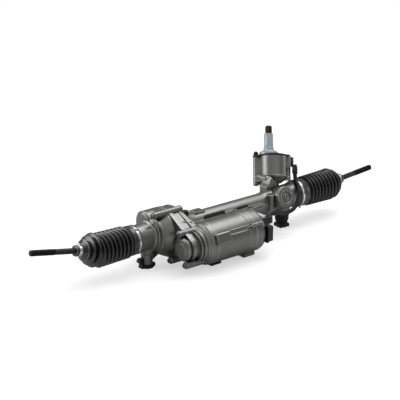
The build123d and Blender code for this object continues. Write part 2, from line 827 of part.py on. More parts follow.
def pinion_tooth():
    flank_radii = [base_radius + (tip_radius - base_radius) * step / 4 for step in range(5)]
    left = [involute_point(radius, -1) for radius in flank_radii]
    right = [involute_point(radius, 1) for radius in flank_radii]
    root_half = half_tooth_angle + 0.02
    with BuildSketch(pinion_line.offset(-16)) as tooth:
        with BuildLine():
            foot_left = (-root_radius * 0.9 * sin(root_half), -root_radius * 0.9 * cos(root_half))
            foot_right = (root_radius * 0.9 * sin(root_half), -root_radius * 0.9 * cos(root_half))
            Line(foot_left, left[0])
            Spline(*left)
            Line(left[-1], right[-1])
            Spline(*right)
            Line(right[0], foot_right)
            Line(foot_right, foot_left)
        make_face()
    return tooth.sketch


with BuildPart() as pinion:
    tooth = extrude(pinion_tooth(), 32)
    for index in range(1, pinion_teeth):
        add(tooth.rotate(Axis(pinion_foot, pinion_direction), index * 360 / pinion_teeth))
    bar(pinion_line, -16, 16, root_radius)
    turn(
        pinion_line,
        [(-30, 0), (-30, 6.5), (-16, 6.5), (-16, 6), (16, 6), (16, 10), (36, 10), (36, 12), (60, 12), (60, 0)],
    )
    bar(pinion_line, 20, 60, torsion_radius, mode=Mode.SUBTRACT)
finish(pinion, "pinion")

with BuildPart() as torsion_bar:
    bar(pinion_line, 20, 60, torsion_radius)
    bar(pinion_line, 60, 150, torsion_radius - 0.2)
finish(torsion_bar, "torsion_bar")

with BuildPart() as pinion_bearings:
    ring(pinion_line, -29, -19, 14, 6.53)
    ring(pinion_line, 19, 31, 19, 10.03)
finish(pinion_bearings, "pinion_bearings")

with BuildPart() as bearing_retainer:
    ring(pinion_line, 31, 35, 19, 13)
finish(bearing_retainer, "bearing_retainer")

with BuildPart() as pinion_cap:
    turn(pinion_line, [(-37, 0), (-37, 14), (-36, 15.5), (-31, 15.5), (-31, 0)])
    hexagon(pinion_line, -37, -34, 12, mode=Mode.SUBTRACT)
finish(pinion_cap, "pinion_cap")

# ---- torque sensor ---------------------------------------------------------------------------------
plug_direction = pinion_line.x_dir * 0.8 - pinion_line.y_dir * 0.6
plug_line = Plane(origin=pinion_foot, x_dir=plug_direction, z_dir=pinion_direction)
cover_thickness = 2.2
gasket_top = pot_top + cover_thickness
with BuildPart() as sensor_housing:
    turn(pot_line, [(pot_base, 0), (pot_base, pot_radius), (pot_top, pot_radius), (pot_top, 0)])
    for place in pot_lugs.values():
        with BuildSketch(pinion_line.offset(pot_base)) as lug:
            with Locations(place, ((place[0] + pot_centre[0]) / 2, (place[1] + pot_centre[1]) / 2)):
                Circle(7.2)
            make_hull()
        extrude(lug.sketch, pot_top - pot_base)
    # The socket of the sensor plug stands on the right side.
    with BuildSketch(plug_line.offset(80)) as socket_root:
        with Locations((45, 0)):
            Rectangle(16, 19)
    extrude(socket_root.sketch, pot_top - 80)
    bar(pinion_line, pot_base + 5, pot_top, pot_radius - 4, at=pot_centre, mode=Mode.SUBTRACT)
    bar(pinion_line, pot_base, pot_base + 5, 14, mode=Mode.SUBTRACT)
finish(sensor_housing, "sensor_housing")

with BuildPart() as sensor_cover:
    with BuildSketch(pinion_line.offset(pot_top)) as plate:
        with Locations(pot_centre):
            Circle(pot_radius + 0.5)
        with Locations(*pot_lugs.values()):
            Circle(7.5)
        make_hull()
        Circle(10, mode=Mode.SUBTRACT)
    extrude(plate.sketch, cover_thickness)
finish(sensor_cover, "sensor_cover")

sleeve_bore = 8.8
with BuildPart() as input_sleeve:
    turn(
        pinion_line,
        [
            (gasket_top, 10),
            (gasket_top, 22.5),
            (gasket_top + 1.5, 23.6),
            (118, 23.6),
            (119.5, 22.8),
            (122, 18.5),
            (123.5, 15.5),
            (124.5, 13),
            (130, 13),
            (131, 11.4),
            (132.5, 10.8),
            (134, 11.4),
            (166, 11),
            (166, sleeve_bore),
            (gasket_top, sleeve_bore),
        ],
    )
finish(input_sleeve, "input_sleeve")

with BuildPart() as torque_sensor:
    ring(pinion_line, 66, 82, 19.5, 13.5)
    bar(pinion_line, 72, 74, 26, at=pot_centre)
    bar(pinion_line, 60, 90, 13.5, mode=Mode.SUBTRACT)
finish(torque_sensor, "torque_sensor")

with BuildPart() as input_shaft:
    turn(
        pinion_line,
        [
            (60.5, torsion_radius + 0.2),
            (60.5, 12),
            (90, 12),
            (91, 8.5),
            (165, 8.5),
            (166.5, 8.2),
            (184.5, 8.2),
            (186, 7),
            (186, 0),
            (151, 0),
            (151, torsion_radius + 0.2),
        ],
    )
finish(input_shaft, "input_shaft")

with BuildPart() as sensor_plug:
    with BuildSketch(plug_line.offset(84)) as plug_socket:
        with Locations((56.8, 0)):
            RectangleRounded(7, 17, 2)
    extrude(plug_socket.sketch, 22)
    with BuildSketch(plug_line.offset(66)) as plug:
        with Locations((63, 0)):
            RectangleRounded(11, 18, 2.5)
    extrude(plug.sketch, 22)
    with BuildSketch(plug_line.offset(70)) as latch:
        with Locations((69, 0)):
            Rectangle(2.4, 6)
    extrude(latch.sketch, 14)
finish(sensor_plug, "sensor_plug")

# ---- fasteners -------------------------------------------------------------------------------------
with BuildPart() as case_bolt_set:
    for name, place in case_bolts.items():
        seat = bolt_seats[name]
        bar(rack_line, seat, joint_plane + 12, bolt_radius, at=place)
        bar(rack_line, seat - 1.2, seat, 7.2, at=place)
        hexagon(rack_line, seat - 5.5, seat - 1.2, 10, at=place)
finish(case_bolt_set, "case_bolts")

with BuildPart() as control_screws:
    for angle in flange_bolts.values():
        ear = flange_ear(angle)
        bar(ear, -8, 14, 2.5)
        bar(ear, 14, 19, 4)
        hexagon(ear, 16, 19, 4, mode=Mode.SUBTRACT)
finish(control_screws, "control_screws")

# The sensor screws sit under rubber caps, the left one taller.
with BuildPart() as sensor_bolts:
    for place, height in ((pot_lugs["left"], 8.5), (pot_lugs["right"], 2.6)):
        bar(pinion_line, gasket_top, gasket_top + height, 6, at=place)
    bar(pinion_line, gasket_top + 8.5, gasket_top + 10, 4, at=pot_lugs["left"])
finish(sensor_bolts, "sensor_bolts")


# ---- tie rods, ball joints and boots, the same on each side ----------------------------------------
def socket(end_line):
    """The ball socket screwed on the end of the rack, its axis starting at the ball centre."""
    turn(end_line, [(-socket_back, 0), (-socket_back, 17), (-22, 19), (8, 19), (12, 17), (12, 0)])
    with Locations(end_line):
        Sphere(16.04, mode=Mode.SUBTRACT)
    turn(end_line, [(0, 0), (0, 10), (12, 16.5), (12, 0)], mode=Mode.SUBTRACT)


def liner(end_line):
    """The ball seat, a spherical shell open towards the tie rod."""
    with Locations(end_line):
        Sphere(16)
        Sphere(13.04, mode=Mode.SUBTRACT)
    turn(end_line, [(5, 0), (5, 17), (17, 17), (17, 0)], mode=Mode.SUBTRACT)


def tie_rod(line):
    with Locations(line):
        Sphere(ball_radius)
    bar(line, 0, 24, 6)
    thread_start = rod_length - thread_length
    turn(
        line,
        [
            (22, 0),
            (22, 6),
            (26, shank_radius),
            (thread_start - 1, shank_radius),
            (thread_start, rod_radius),
            (rod_length - 2, rod_radius),
            (rod_length, rod_radius - 1.5),
            (rod_length, 0),
        ],
    )


clamp_place = 54.5  # from the ball centre to the clamp on the rod
neck_radius = 11.4
ridge_pitch = 11.0
ridges_beyond_ball = {20: 38.5, 31: 33.5, 42: 24.5}


def boot(end_line, rod_line, ball_offset):
    """The bellows: a collar and even folds in line with the rack, then a nose in line with the tie rod."""
    first = ball_offset - 68
    folds = [(0, 0), (0, 34.5), (3, 34.5), (3.6, 32.6), (10.4, 32.6), (11, 34.6), (first - 9, 34.6)]
    for index in range(8):
        place = first + ridge_pitch * index
        ridge = 37.6 + 0.25 * index
        folds += [(place - 5.5, 31.5 + 0.3 * index), (place - 0.8, ridge), (place + 0.8, ridge)]
    folds += [(ball_offset + 14.5, 33.5), (ball_offset + 15, 33.5), (ball_offset + 15, 0)]
    nose = [(6, 0), (6, 29), (12.5, 31.5), (14, 31.5)]
    for place, ridge in ridges_beyond_ball.items():
        nose += [(place - 0.8, ridge), (place + 0.8, ridge - 0.5), (place + 5.5, 0.86 * ridge - 2.5)]
    nose[-1] = (44.5, 20.5)
    nose += [
        (clamp_place - 5, 13.4),
        (clamp_place - 4.3, neck_radius),
        (clamp_place + 4, neck_radius),
        (clamp_place + 5, 12.4),
        (clamp_place + 9.5, 12.4),
        (clamp_place + 11, 11),
        (clamp_place + 11, 0),
    ]
    turn(end_line, folds)
    turn(rod_line, nose)
    inside = [(-1, 0), (-1, 29.55), (24, 29.55), (25, 28), (ball_offset + 13, 28), (ball_offset + 13, 0)]
    turn(end_line, inside, mode=Mode.SUBTRACT)
    nose_inside = [(4, 0), (4, 26), (22, 26), (33, 23.5), (44, 15), (48, 8.5), (50, 7.3)]
    nose_inside += [(clamp_place + 12, 7.3), (clamp_place + 12, 0)]
    turn(rod_line, nose_inside, mode=Mode.SUBTRACT)


def small_clamp(line):
    """A band clamp on the neck of a boot, with the crimped ear that tightens it."""
    ring(line, clamp_place - 3.5, clamp_place + 3.5, neck_radius + 1.3, neck_radius + 0.1)
    with Locations(line.offset(clamp_place)):
        with Locations((0, neck_radius + 2.6, 0)):
            Box(5, 4, 6)


left_socket_line = Plane(origin=left_rod_line.origin, x_dir=(0, 1, 0), z_dir=(-1, 0, 0))
right_socket_line = Plane(origin=right_rod_line.origin, x_dir=(0, 1, 0), z_dir=(1, 0, 0))
sides = {
    "left": (left_end_line, left_socket_line, left_rod_line, left_ball_offset),
    "right": (right_end_line, right_socket_line, right_rod_line, right_ball_offset),
}
for side, (end_line, socket_line, rod_line, ball_offset) in sides.items():
    with BuildPart() as ball_socket:
        socket(socket_line)
    finish(ball_socket, f"{side}_ball_socket")
    with BuildPart() as ball_liner:
        liner(socket_line)
    finish(ball_liner, f"{side}_ball_liner")
    with BuildPart() as rod:
        tie_rod(rod_line)
    finish(rod, f"{side}_tie_rod")
    with BuildPart() as clamp:
        small_clamp(rod_line)
    finish(clamp, f"{side}_small_clamp")
    with BuildPart() as bellows:
        boot(end_line, rod_line, ball_offset)
    finish(bellows, f"{side}_boot")

clamp_ear = -120  # where the crimped ear of a boot clamp stands
with BuildPart() as boot_clamps:
    for end_line in (left_end_line, right_end_line):
        ring(end_line, 4, 10, 33.9, 32.65)
        with Locations(end_line.offset(7)):
            with PolarLocations(35, 1, start_angle=clamp_ear):
                Box(4.5, 8, 5)
finish(boot_clamps, "boot_clamps")

# ---- sensor harness --------------------------------------------------------------------------------
harness_radius = 5.0
harness_exit = pinion_foot + pinion_direction * 66 + plug_direction * 64
route = [
    harness_exit,
    harness_exit - pinion_direction * 17,
    (242, -27, 104),
    (230, -42, 91),
    (217, -51, 76),
    (203, -56, 64),
    (184, -59, 60),
    (162, -63, 61),
    (141, -70, 67),
    (119, -80, 78),
    (96, -80, 78),
]
radii = []
for before, here, after in zip(route, route[1:], route[2:]):
    back = Vector(*here) - Vector(*before)
    ahead = Vector(*after) - Vector(*here)
    half_turn = radians(back.get_angle(ahead)) / 2
    radii.append(0.45 * min(back.length, ahead.length) / tan(half_turn))
print("harness radii", [round(radius) for radius in radii])
with BuildPart() as sensor_harness:
    with BuildLine() as path:
        FilletPolyline(*route, radius=radii)
    first_run = Vector(*route[1]) - Vector(*route[0])
    with BuildSketch(Plane(origin=route[0], z_dir=first_run)) as section:
        Circle(harness_radius)
    sweep(section.sketch, path=path.line)
finish(sensor_harness, "sensor_harness")
tube_volume = pi * harness_radius**2 * sum(edge.length for edge in path.line.edges())
print("harness volume over section times length", sensor_harness.part.volume / tube_volume)

with BuildPart() as harness_plug:
    with BuildSketch(Plane.YZ.offset(control_end + 20)) as plug_shell:
        with Locations((-92, 77)):
            RectangleRounded(36, 18, 3)
    extrude(plug_shell.sketch, 22)
    with BuildSketch(Plane.YZ.offset(control_end + 42)) as plug_back:
        with Locations((-84, 78)):
            RectangleRounded(20, 15, 4)
    extrude(plug_back.sketch, 12)
    bar(Plane(origin=(control_end + 54, -80, 78), x_dir=(0, 1, 0), z_dir=(1, 0, 0)), 0, 6, 6.4)
finish(harness_plug, "harness_plug")

# The slide that locks the plug in its socket.
with BuildPart() as lock_slide:
    block((control_end + 9, -110, 88), (control_end + 17, -76, 91))
    block((control_end + 9, -110, 91), (control_end + 11.5, -76, 92.5))
finish(lock_slide, "lock_slide")
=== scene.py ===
import bpy
import json
from math import cos, pi, radians, sin
from mathutils import Matrix, Vector
from mathutils.geometry import convex_hull_2d


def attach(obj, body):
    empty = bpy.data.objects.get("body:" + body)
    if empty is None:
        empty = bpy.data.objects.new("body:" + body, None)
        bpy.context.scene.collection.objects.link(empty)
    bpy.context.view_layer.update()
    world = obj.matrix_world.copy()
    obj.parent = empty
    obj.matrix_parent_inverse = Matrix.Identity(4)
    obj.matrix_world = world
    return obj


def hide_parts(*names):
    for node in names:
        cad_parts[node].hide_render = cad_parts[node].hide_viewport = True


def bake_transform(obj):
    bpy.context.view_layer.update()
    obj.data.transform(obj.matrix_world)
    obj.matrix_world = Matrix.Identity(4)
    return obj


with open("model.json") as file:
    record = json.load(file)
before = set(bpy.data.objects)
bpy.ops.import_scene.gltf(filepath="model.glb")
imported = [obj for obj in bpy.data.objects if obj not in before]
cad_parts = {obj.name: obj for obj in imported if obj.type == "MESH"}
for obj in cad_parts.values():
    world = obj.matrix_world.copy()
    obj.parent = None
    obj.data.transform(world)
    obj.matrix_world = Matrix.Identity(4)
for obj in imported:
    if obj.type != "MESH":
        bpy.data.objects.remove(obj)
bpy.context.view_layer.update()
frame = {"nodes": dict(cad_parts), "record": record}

mm = 0.001
nodes = frame["nodes"]

# places shared by several pieces, in mm and degrees
place = {
    "rackHeight": 75,
    "leftLip": -247.5,
    "rightLip": 250,
    "leftBall": 100,
    "rightBall": 105,
    "leftRise": 10.5,
    "rightRise": 3,
    "rodSweep": 2.5,
    "pinionSlant": 17.5,
    "pinionLean": 22,
    "pinionFoot": (185, 16.179, 68.463),
}
slant = radians(place["pinionSlant"])
lean = radians(place["pinionLean"])
pinionDirection = Vector((sin(slant), cos(slant) * sin(lean), cos(slant) * cos(lean)))
yokeDirection = Vector((0, -cos(lean), sin(lean)))
pinionAcross = (Vector((1, 0, 0)) - pinionDirection * sin(slant)).normalized()


def axisFrame(origin, along, across):
    # a frame with z along the axis, origin in mm
    z = Vector(along).normalized()
    x = Vector(across)
    x = (x - z * x.dot(z)).normalized()
    turnedTo = Matrix((x, z.cross(x), z)).transposed().to_4x4()
    return Matrix.Translation(Vector(origin) * mm) @ turnedTo


def shifted(x, y, z):
    # a frame moved by mm
    return Matrix.Translation((x * mm, y * mm, z * mm))


pinionAxis = axisFrame(place["pinionFoot"], pinionDirection, pinionAcross)
yokeAxis = axisFrame((place["pinionFoot"][0], 0, place["rackHeight"]), yokeDirection, (1, 0, 0))


# colours and nodes
def linear(hexColour):
    values = [int(hexColour[i:i + 2], 16) / 255 for i in (1, 3, 5)]
    return tuple(v / 12.92 if v <= 0.04045 else ((v + 0.055) / 1.055) ** 2.4 for v in values) + (1,)


def addNode(material, kind, settings=None, links=None):
    made = material.node_tree.nodes.new(kind)
    for key, value in (settings or {}).items():
        if isinstance(key, int) or key in made.inputs:
            made.inputs[key].default_value = value
        else:
            setattr(made, key, value)
    for socket, source in (links or {}).items():
        material.node_tree.links.new(source, made.inputs[socket])
    return made


def newMaterial(name, settings):
    material = bpy.data.materials.new(name)
    material.use_nodes = True
    material.node_tree.nodes.clear()
    shader = addNode(material, "ShaderNodeBsdfPrincipled", settings)
    addNode(material, "ShaderNodeOutputMaterial", None, {"Surface": shader.outputs["BSDF"]})
    return material, shader


skin = {"patchDetail": 5, "patchRoughness": 0.62, "grainDetail": 3, "grainDepth": 0.0002, "edgeSamples": 6}


def twoTone(material, shader, low, high, scale, spread, grain, strength, edge=0):
    # a mottled colour, a fine relief, and corners that catch the light over a width of edge mm
    where = addNode(material, "ShaderNodeTexCoord").outputs["Object"]
    patchSettings = {"Scale": scale, "Detail": skin["patchDetail"], "Roughness": skin["patchRoughness"]}
    patches = addNode(material, "ShaderNodeTexNoise", patchSettings, {"Vector": where})
    ramp = addNode(material, "ShaderNodeValToRGB", None, {"Fac": patches.outputs["Fac"]})
    ramp.color_ramp.elements[0].position = 0.5 - spread
    ramp.color_ramp.elements[1].position = 0.5 + spread
    ramp.color_ramp.elements[0].color = linear(low)
    ramp.color_ramp.elements[1].color = linear(high)
    material.node_tree.links.new(ramp.outputs["Color"], shader.inputs["Base Color"])
    grainSettings = {"Scale": grain, "Detail": skin["grainDetail"]}
    grains = addNode(material, "ShaderNodeTexNoise", grainSettings, {"Vector": where})
    bumpSettings = {"Strength": strength, "Distance": skin["grainDepth"]}
    bump = addNode(material, "ShaderNodeBump", bumpSettings, {"Height": grains.outputs["Fac"]})
    if edge:
        rounded = addNode(material, "ShaderNodeBevel", {"samples": skin["edgeSamples"], "Radius": edge * mm})
        material.node_tree.links.new(rounded.outputs["Normal"], bump.inputs["Normal"])
    material.node_tree.links.new(bump.outputs["Normal"], shader.inputs["Normal"])
    return patches


# corners are found by how closed in a point is, and edges by how far a rounded normal turns from the face's own; these
# masks paint shade into corners and a highlight onto edges
paintedLight = {
    "samples": 8,
    "paintedShade": {"From Min": 0.35, "From Max": 0.9},
    "ridge": {"From Min": 0.995, "From Max": 0.94},
    "open": {"From Min": 0.5, "From Max": 0.75},
}


def paintedShadeAndHighlight(material, shader, highlightColour, edge, reach, depth):
    # paints shade into the corners, darkening them over a reach in mm, and paints a highlight along the edges,
    # lightening them to a bright colour over a width in mm
    base = shader.inputs["Base Color"].links[0].from_socket
    cornerSettings = {"samples": paintedLight["samples"], "Distance": reach * mm}
    corner = addNode(material, "ShaderNodeAmbientOcclusion", cornerSettings)
    paintedShadeSettings = dict(paintedLight["paintedShade"], **{"To Min": depth, "To Max": 1})
    paintedShade = addNode(material, "ShaderNodeMapRange", paintedShadeSettings, {"Value": corner.outputs["AO"]})
    multiply = {"data_type": "RGBA", "blend_type": "MULTIPLY", 0: 1}
    shadedColour = addNode(material, "ShaderNodeMix", multiply, {6: base, 7: paintedShade.outputs["Result"]})
    rounded = addNode(material, "ShaderNodeBevel", {"samples": paintedLight["samples"], "Radius": edge * mm})
    face = addNode(material, "ShaderNodeNewGeometry")
    normals = {0: rounded.outputs["Normal"], 1: face.outputs["Normal"]}
    turn = addNode(material, "ShaderNodeVectorMath", {"operation": "DOT_PRODUCT"}, normals)
    ridge = addNode(material, "ShaderNodeMapRange", paintedLight["ridge"], {"Value": turn.outputs["Value"]})
    outer = addNode(material, "ShaderNodeMapRange", paintedLight["open"], {"Value": corner.outputs["AO"]})
    both = {0: ridge.outputs["Result"], 1: outer.outputs["Result"]}
    highlightMask = addNode(material, "ShaderNodeMath", {"operation": "MULTIPLY"}, both)
    highlightColourSettings = {"data_type": "RGBA", 7: linear(highlightColour)}
    mixed = addNode(material, "ShaderNodeMix", highlightColourSettings, {0: highlightMask.outputs["Value"], 6: shadedColour.outputs[2]})
    material.node_tree.links.new(mixed.outputs[2], shader.inputs["Base Color"])


# Die-cast aluminium, shot-blasted: a neutral satin grey, its grain about 1 mm across, with a painted highlight along
# the edges and painted shade in the corners.
castAluminium, shader = newMaterial("castAluminium", {"Metallic": 0.92, "Roughness": 0.4})
patches = twoTone(
    castAluminium, shader, "#7a7a78", "#878785", scale=45, spread=0.3, grain=900, strength=0.3, edge=0.9
)
rough = addNode(
    castAluminium, "ShaderNodeMapRange", {"To Min": 0.31, "To Max": 0.43}, {"Value": patches.outputs["Fac"]}
)
castAluminium.node_tree.links.new(rough.outputs["Result"], shader.inputs["Roughness"])
paintedShadeAndHighlight(castAluminium, shader, highlightColour="#e2e2de", edge=1.1, reach=9, depth=0.3)

# Ground steel: bright, with a soft sheen.
groundSteel, shader = newMaterial("groundSteel", {"Metallic": 1, "Roughness": 0.28})
twoTone(groundSteel, shader, "#9a9a9c", "#b2b2b4", scale=120, spread=0.2, grain=1500, strength=0.1, edge=0.4)

# Stainless band of the boot clamps: bright and a little brushed.
stainlessBand, shader = newMaterial("stainlessBand", {"Metallic": 1, "Roughness": 0.2})
twoTone(stainlessBand, shader, "#dcdcdc", "#ececea", scale=150, spread=0.2, grain=2000, strength=0.1, edge=0.3)

# Zinc-plated steel: cool light grey of the sleeve.
zincSteel, shader = newMaterial("zincSteel", {"Metallic": 0.45, "Roughness": 0.42})
twoTone(zincSteel, shader, "#9ca6ad", "#afb9bf", scale=70, spread=0.3, grain=1200, strength=0.15, edge=0.5)

# Black zinc-nickel of the bolts: a dark metal, with a painted highlight on its corners and painted shade in its
# recesses.
darkZinc, shader = newMaterial("darkZinc", {"Metallic": 1, "Roughness": 0.3})
twoTone(darkZinc, shader, "#505054", "#6c6c72", scale=140, spread=0.2, grain=1500, strength=0.15, edge=0.4)
paintedShadeAndHighlight(darkZinc, shader, highlightColour="#d8d8da", edge=0.6, reach=5, depth=0.3)

# Oiled dark steel of the splined end: brown-grey, with the oil's soft shine.
splineSteel, shader = newMaterial("splineSteel", {"Metallic": 0.9, "Roughness": 0.35})
twoTone(splineSteel, shader, "#4b4238", "#675b4c", scale=140, spread=0.2, grain=1500, strength=0.15)

# Phosphated steel of the tie rods: nearly black, with a dull sheen.
phosphatedSteel, shader = newMaterial("phosphatedSteel", {"Metallic": 0.7, "Roughness": 0.42})
twoTone(phosphatedSteel, shader, "#242425", "#343435", scale=120, spread=0.2, grain=1500, strength=0.3)

# Thermoplastic elastomer of the boots: deep black with a satin skin, with a painted grey highlight along its ridge
# edges and painted shade deep in its valleys.
bootSkin = {"Roughness": 0.32, "Specular IOR Level": 0.8, "Coat Weight": 0.25, "Coat Roughness": 0.22}
bootElastomer, shader = newMaterial("bootElastomer", bootSkin)
twoTone(bootElastomer, shader, "#09090a", "#0e0e0f", scale=90, spread=0.3, grain=1100, strength=0.12)
paintedShadeAndHighlight(bootElastomer, shader, highlightColour="#a0a0a3", edge=1.4, reach=9, depth=0.1)

# Natural rubber of the feet: black and matt.
footRubber, shader = newMaterial("footRubber", {"Roughness": 0.6, "Specular IOR Level": 0.35})
twoTone(footRubber, shader, "#0e0e0f", "#171718", scale=90, spread=0.2, grain=900, strength=0.4)

# Glass-filled nylon: black with a faint moulded grain.
filledNylon, shader = newMaterial("filledNylon", {"Roughness": 0.42})
twoTone(filledNylon, shader, "#111112", "#1b1b1d", scale=160, spread=0.2, grain=1300, strength=0.3, edge=0.5)

# Vinyl sleeve of the harness: black, and duller than the plastics.
harnessSleeve, shader = newMaterial("harnessSleeve", {"Roughness": 0.55, "Specular IOR Level": 0.3})
twoTone(harnessSleeve, shader, "#0a0a0b", "#121214", scale=200, spread=0.2, grain=1300, strength=0.2)

# Acetal: white, smooth.
whiteAcetal, shader = newMaterial("whiteAcetal", {"Roughness": 0.4})
twoTone(whiteAcetal, shader, "#dddcd6", "#e8e7e2", scale=100, spread=0.2, grain=1300, strength=0.1, edge=0.4)

# Rubber of the drive belt: dark and matt.
beltRubber, shader = newMaterial("beltRubber", {"Roughness": 0.7})
twoTone(beltRubber, shader, "#1d1c1c", "#2a2928", scale=200, spread=0.2, grain=2400, strength=0.4)

# Enamelled copper wire: reddish, under a clear varnish.
enamelledCopper, shader = newMaterial("enamelledCopper", {"Metallic": 1, "Roughness": 0.35})
twoTone(enamelledCopper, shader, "#a8592f", "#c0703f", scale=200, spread=0.2, grain=2400, strength=0.3)

# Circuit board with a green solder mask: half gloss.
solderMask, shader = newMaterial("solderMask", {"Roughness": 0.4})
twoTone(solderMask, shader, "#1b4a2c", "#235a37", scale=200, spread=0.2, grain=2400, strength=0.2)
print("materials made")

slotMaterial = {
    "cast_aluminium": castAluminium,
    "machined_steel": groundSteel,
    "bright_clamp": stainlessBand,
    "zinc_steel": zincSteel,
    "spline_steel": splineSteel,
    "black_steel": phosphatedSteel,
    "boot_rubber": bootElastomer,
    "bush_rubber": footRubber,
    "black_plastic": filledNylon,
    "white_plastic": whiteAcetal,
    "belt_rubber": beltRubber,
    "copper": enamelledCopper,
    "board": solderMask,
}
for part in frame["record"]["subparts"]:
    carried = nodes[part["node"]]
    carried.data.materials.clear()
    carried.data.materials.append(slotMaterial[part["material_slot"]])
print("carried nodes dressed")

merging = {"line": 1e-6, "spin": 2e-6, "thread": 1e-5}  # metres under which points become one


# modelling helpers
def chosen(piece):
    bpy.ops.object.select_all(action="DESELECT")
    piece.select_set(True)
    bpy.context.view_layer.objects.active = piece


def selectAll():
    bpy.ops.mesh.select_all(action="SELECT")


def drawn(name, points):
    # a line through points in mm, pulled from point to point and left in edit mode
    bpy.ops.object.select_all(action="DESELECT")
    bpy.ops.mesh.primitive_plane_add(size=0.001, location=(0, 0, 0))
    piece = bpy.context.object
    piece.name = name
    bpy.ops.object.mode_set(mode="EDIT")
    bpy.ops.mesh.select_mode(type="VERT")
    bpy.ops.mesh.merge(type="CENTER")
    bpy.ops.transform.translate(value=tuple(value * mm for value in points[0]))
    for before, after in zip(points, points[1:]):
        step = tuple((end - start) * mm for start, end in zip(before, after))
        bpy.ops.mesh.extrude_vertices_move(TRANSFORM_OT_translate={"value": step})
    return piece


def closedShell():
    # turns the faces of the shape in edit mode outwards and leaves edit mode
    bpy.ops.mesh.normals_make_consistent(inside=False)
    bpy.ops.object.mode_set(mode="OBJECT")


def turned(name, profile, steps=72):
    # spins a closed profile of (distance along z, radius), in mm, about the z axis
    piece = drawn(name, [(radius, 0, z) for z, radius in profile + profile[:1]])
    selectAll()
    bpy.ops.mesh.remove_doubles(threshold=merging["line"])
    selectAll()
    bpy.ops.mesh.spin(steps=steps, angle=2 * pi, center=(0, 0, 0), axis=(0, 0, 1))
    selectAll()
    bpy.ops.mesh.remove_doubles(threshold=merging["spin"])
    closedShell()
    return piece


def extruded(name, outline, low, high):
    # fills an outline in the xy plane, in mm, and pulls it from low to high along z
    piece = drawn(name, [(x, y, low) for x, y in outline + outline[:1]])
    selectAll()
    bpy.ops.mesh.remove_doubles(threshold=merging["line"])
    selectAll()
    bpy.ops.mesh.edge_face_add()
    bpy.ops.mesh.extrude_region_move(TRANSFORM_OT_translate={"value": (0, 0, (high - low) * mm)})
    selectAll()
    closedShell()
    return piece


def placed(piece, spot):
    # moves a piece's mesh to a frame and leaves its object at the origin
    piece.matrix_world = spot @ piece.matrix_world
    chosen(piece)
    bpy.ops.object.transform_apply(location=True, rotation=True, scale=True)
    return piece


def smoothed(piece, angle):
    # shades a piece smooth, but for the edges sharper than an angle in degrees
    chosen(piece)
    bpy.ops.object.shade_smooth_by_angle(angle=radians(angle))
    return piece


def joined(name, pieces):
    bpy.ops.object.select_all(action="DESELECT")
    for piece in pieces:
        piece.select_set(True)
    bpy.context.view_layer.objects.active = pieces[0]
    bpy.ops.object.join()
    pieces[0].name = name
    return pieces[0]


def finished(piece, body, material, replaced=(), smooth=None):
    # gives a piece its shading, material and body, and hides the nodes that it stands for
    if smooth:
        smoothed(piece, smooth)
    piece.data.materials.clear()
    piece.data.materials.append(material)
    if body:
        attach(piece, body)
    if replaced:
        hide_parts(*replaced)
    return piece


def applyModifier(piece, kind, **settings):
    chosen(piece)
    made = piece.modifiers.new(kind.lower(), kind)
    for key, value in settings.items():
        setattr(made, key, value)
    bpy.ops.object.modifier_apply(modifier=made.name)


def edgesBevelled(piece, width, angle=40):
    # rounds the edges sharper than an angle in degrees
    applyModifier(
        piece, "BEVEL", width=width * mm, segments=2, limit_method="ANGLE", angle_limit=radians(angle)
    )
    return piece


def roundedOutline(width, height, corner, at=(0, 0), steps=5):
    # a rectangle with round corners as a list of points
    points = []
    for turn, (sx, sy) in enumerate(((1, 1), (-1, 1), (-1, -1), (1, -1))):
        middle = (at[0] + sx * (width / 2 - corner), at[1] + sy * (height / 2 - corner))
        for step in range(steps + 1):
            angle = pi / 2 * (turn + step / steps)
            points.append((middle[0] + corner * cos(angle), middle[1] + corner * sin(angle)))
    return points


def blocks(rows):
    # round-cornered blocks; each row is name, width, height, corner, middle, low, high and bevel, in mm
    made = []
    for name, width, height, corner, at, low, high, bevel in rows:
        block = extruded(name, roundedOutline(width, height, corner, at), low, high)
        made.append(edgesBevelled(block, bevel) if bevel else block)
    return made


# boots, the same on each side: bellows along the rack, and a nose whose places are measured from the ball's centre
bellows = {
    "pitch": 11,
    "folds": 8,
    "foldBack": 68,
    "ridge": 37.6,
    "ridgeGrowth": 0.25,
    "valley": 29.2,
    "valleyGrowth": 0.3,
    "wall": 1.6,
    "slideStart": 12,
    "slideStop": 146,
    "noseRidge": {20: (38.9, 26.6), 31: (33.6, 19.8), 42: (24.8, 20.4)},  # place: ridge, and the valley after it
    "noseTip": [(43.8, 21.8), (45.6, 19), (48.2, 14.8), (49.4, 12.6)],
    "noseEnd": 43,
    "neck": [
        (47.5, 6.9), (47.5, 11.5), (48.6, 12.9), (49.6, 13.2), (50.4, 12.6), (50.9, 11.45), (58.1, 11.45),
        (58.7, 12.3), (59.8, 12.7), (63.4, 12.7), (64.8, 12.1), (65.4, 10.8), (65.4, 6.9),
    ],
    "steps": 96,
    "neckSteps": 64,
}
# the ridges that a run carries, its skirt hidden under the run before, and the bodies and places given for a blend
# between them
noseRuns = {
    "BootBend": {"ridges": (20, 20), "skirt": 31.4, "start": 4, "bodies": ("rack", "seat"), "blend": (10, 24)},
    "BootNose": {"ridges": (31, 42), "skirt": 25.4, "start": 20, "bodies": ("seat", "neck"), "blend": (24, 46)},
}
ridgeShape = (
    (-4.9, 0.03), (-4.2, 0.14), (-2.4, 0.66), (-1.5, 0.89), (-0.7, 0.98), (0, 1), (0.7, 0.98), (1.5, 0.89),
    (2.4, 0.66), (4.2, 0.14), (4.9, 0.03),
)


def fold(middle, top, before, after):
    # the points of one ridge, and the valley after it
    points = []
    for shift, share in ridgeShape:
        low = before if shift < 0 else after
        points.append((middle + shift, low + (top - low) * share))
    return points + [(middle + bellows["pitch"] / 2, after)]


def walled(outer):
    # closes an outer line with a parallel inner one
    inner = [(x, r - bellows["wall"]) for x, r in reversed(outer)]
    return outer + inner


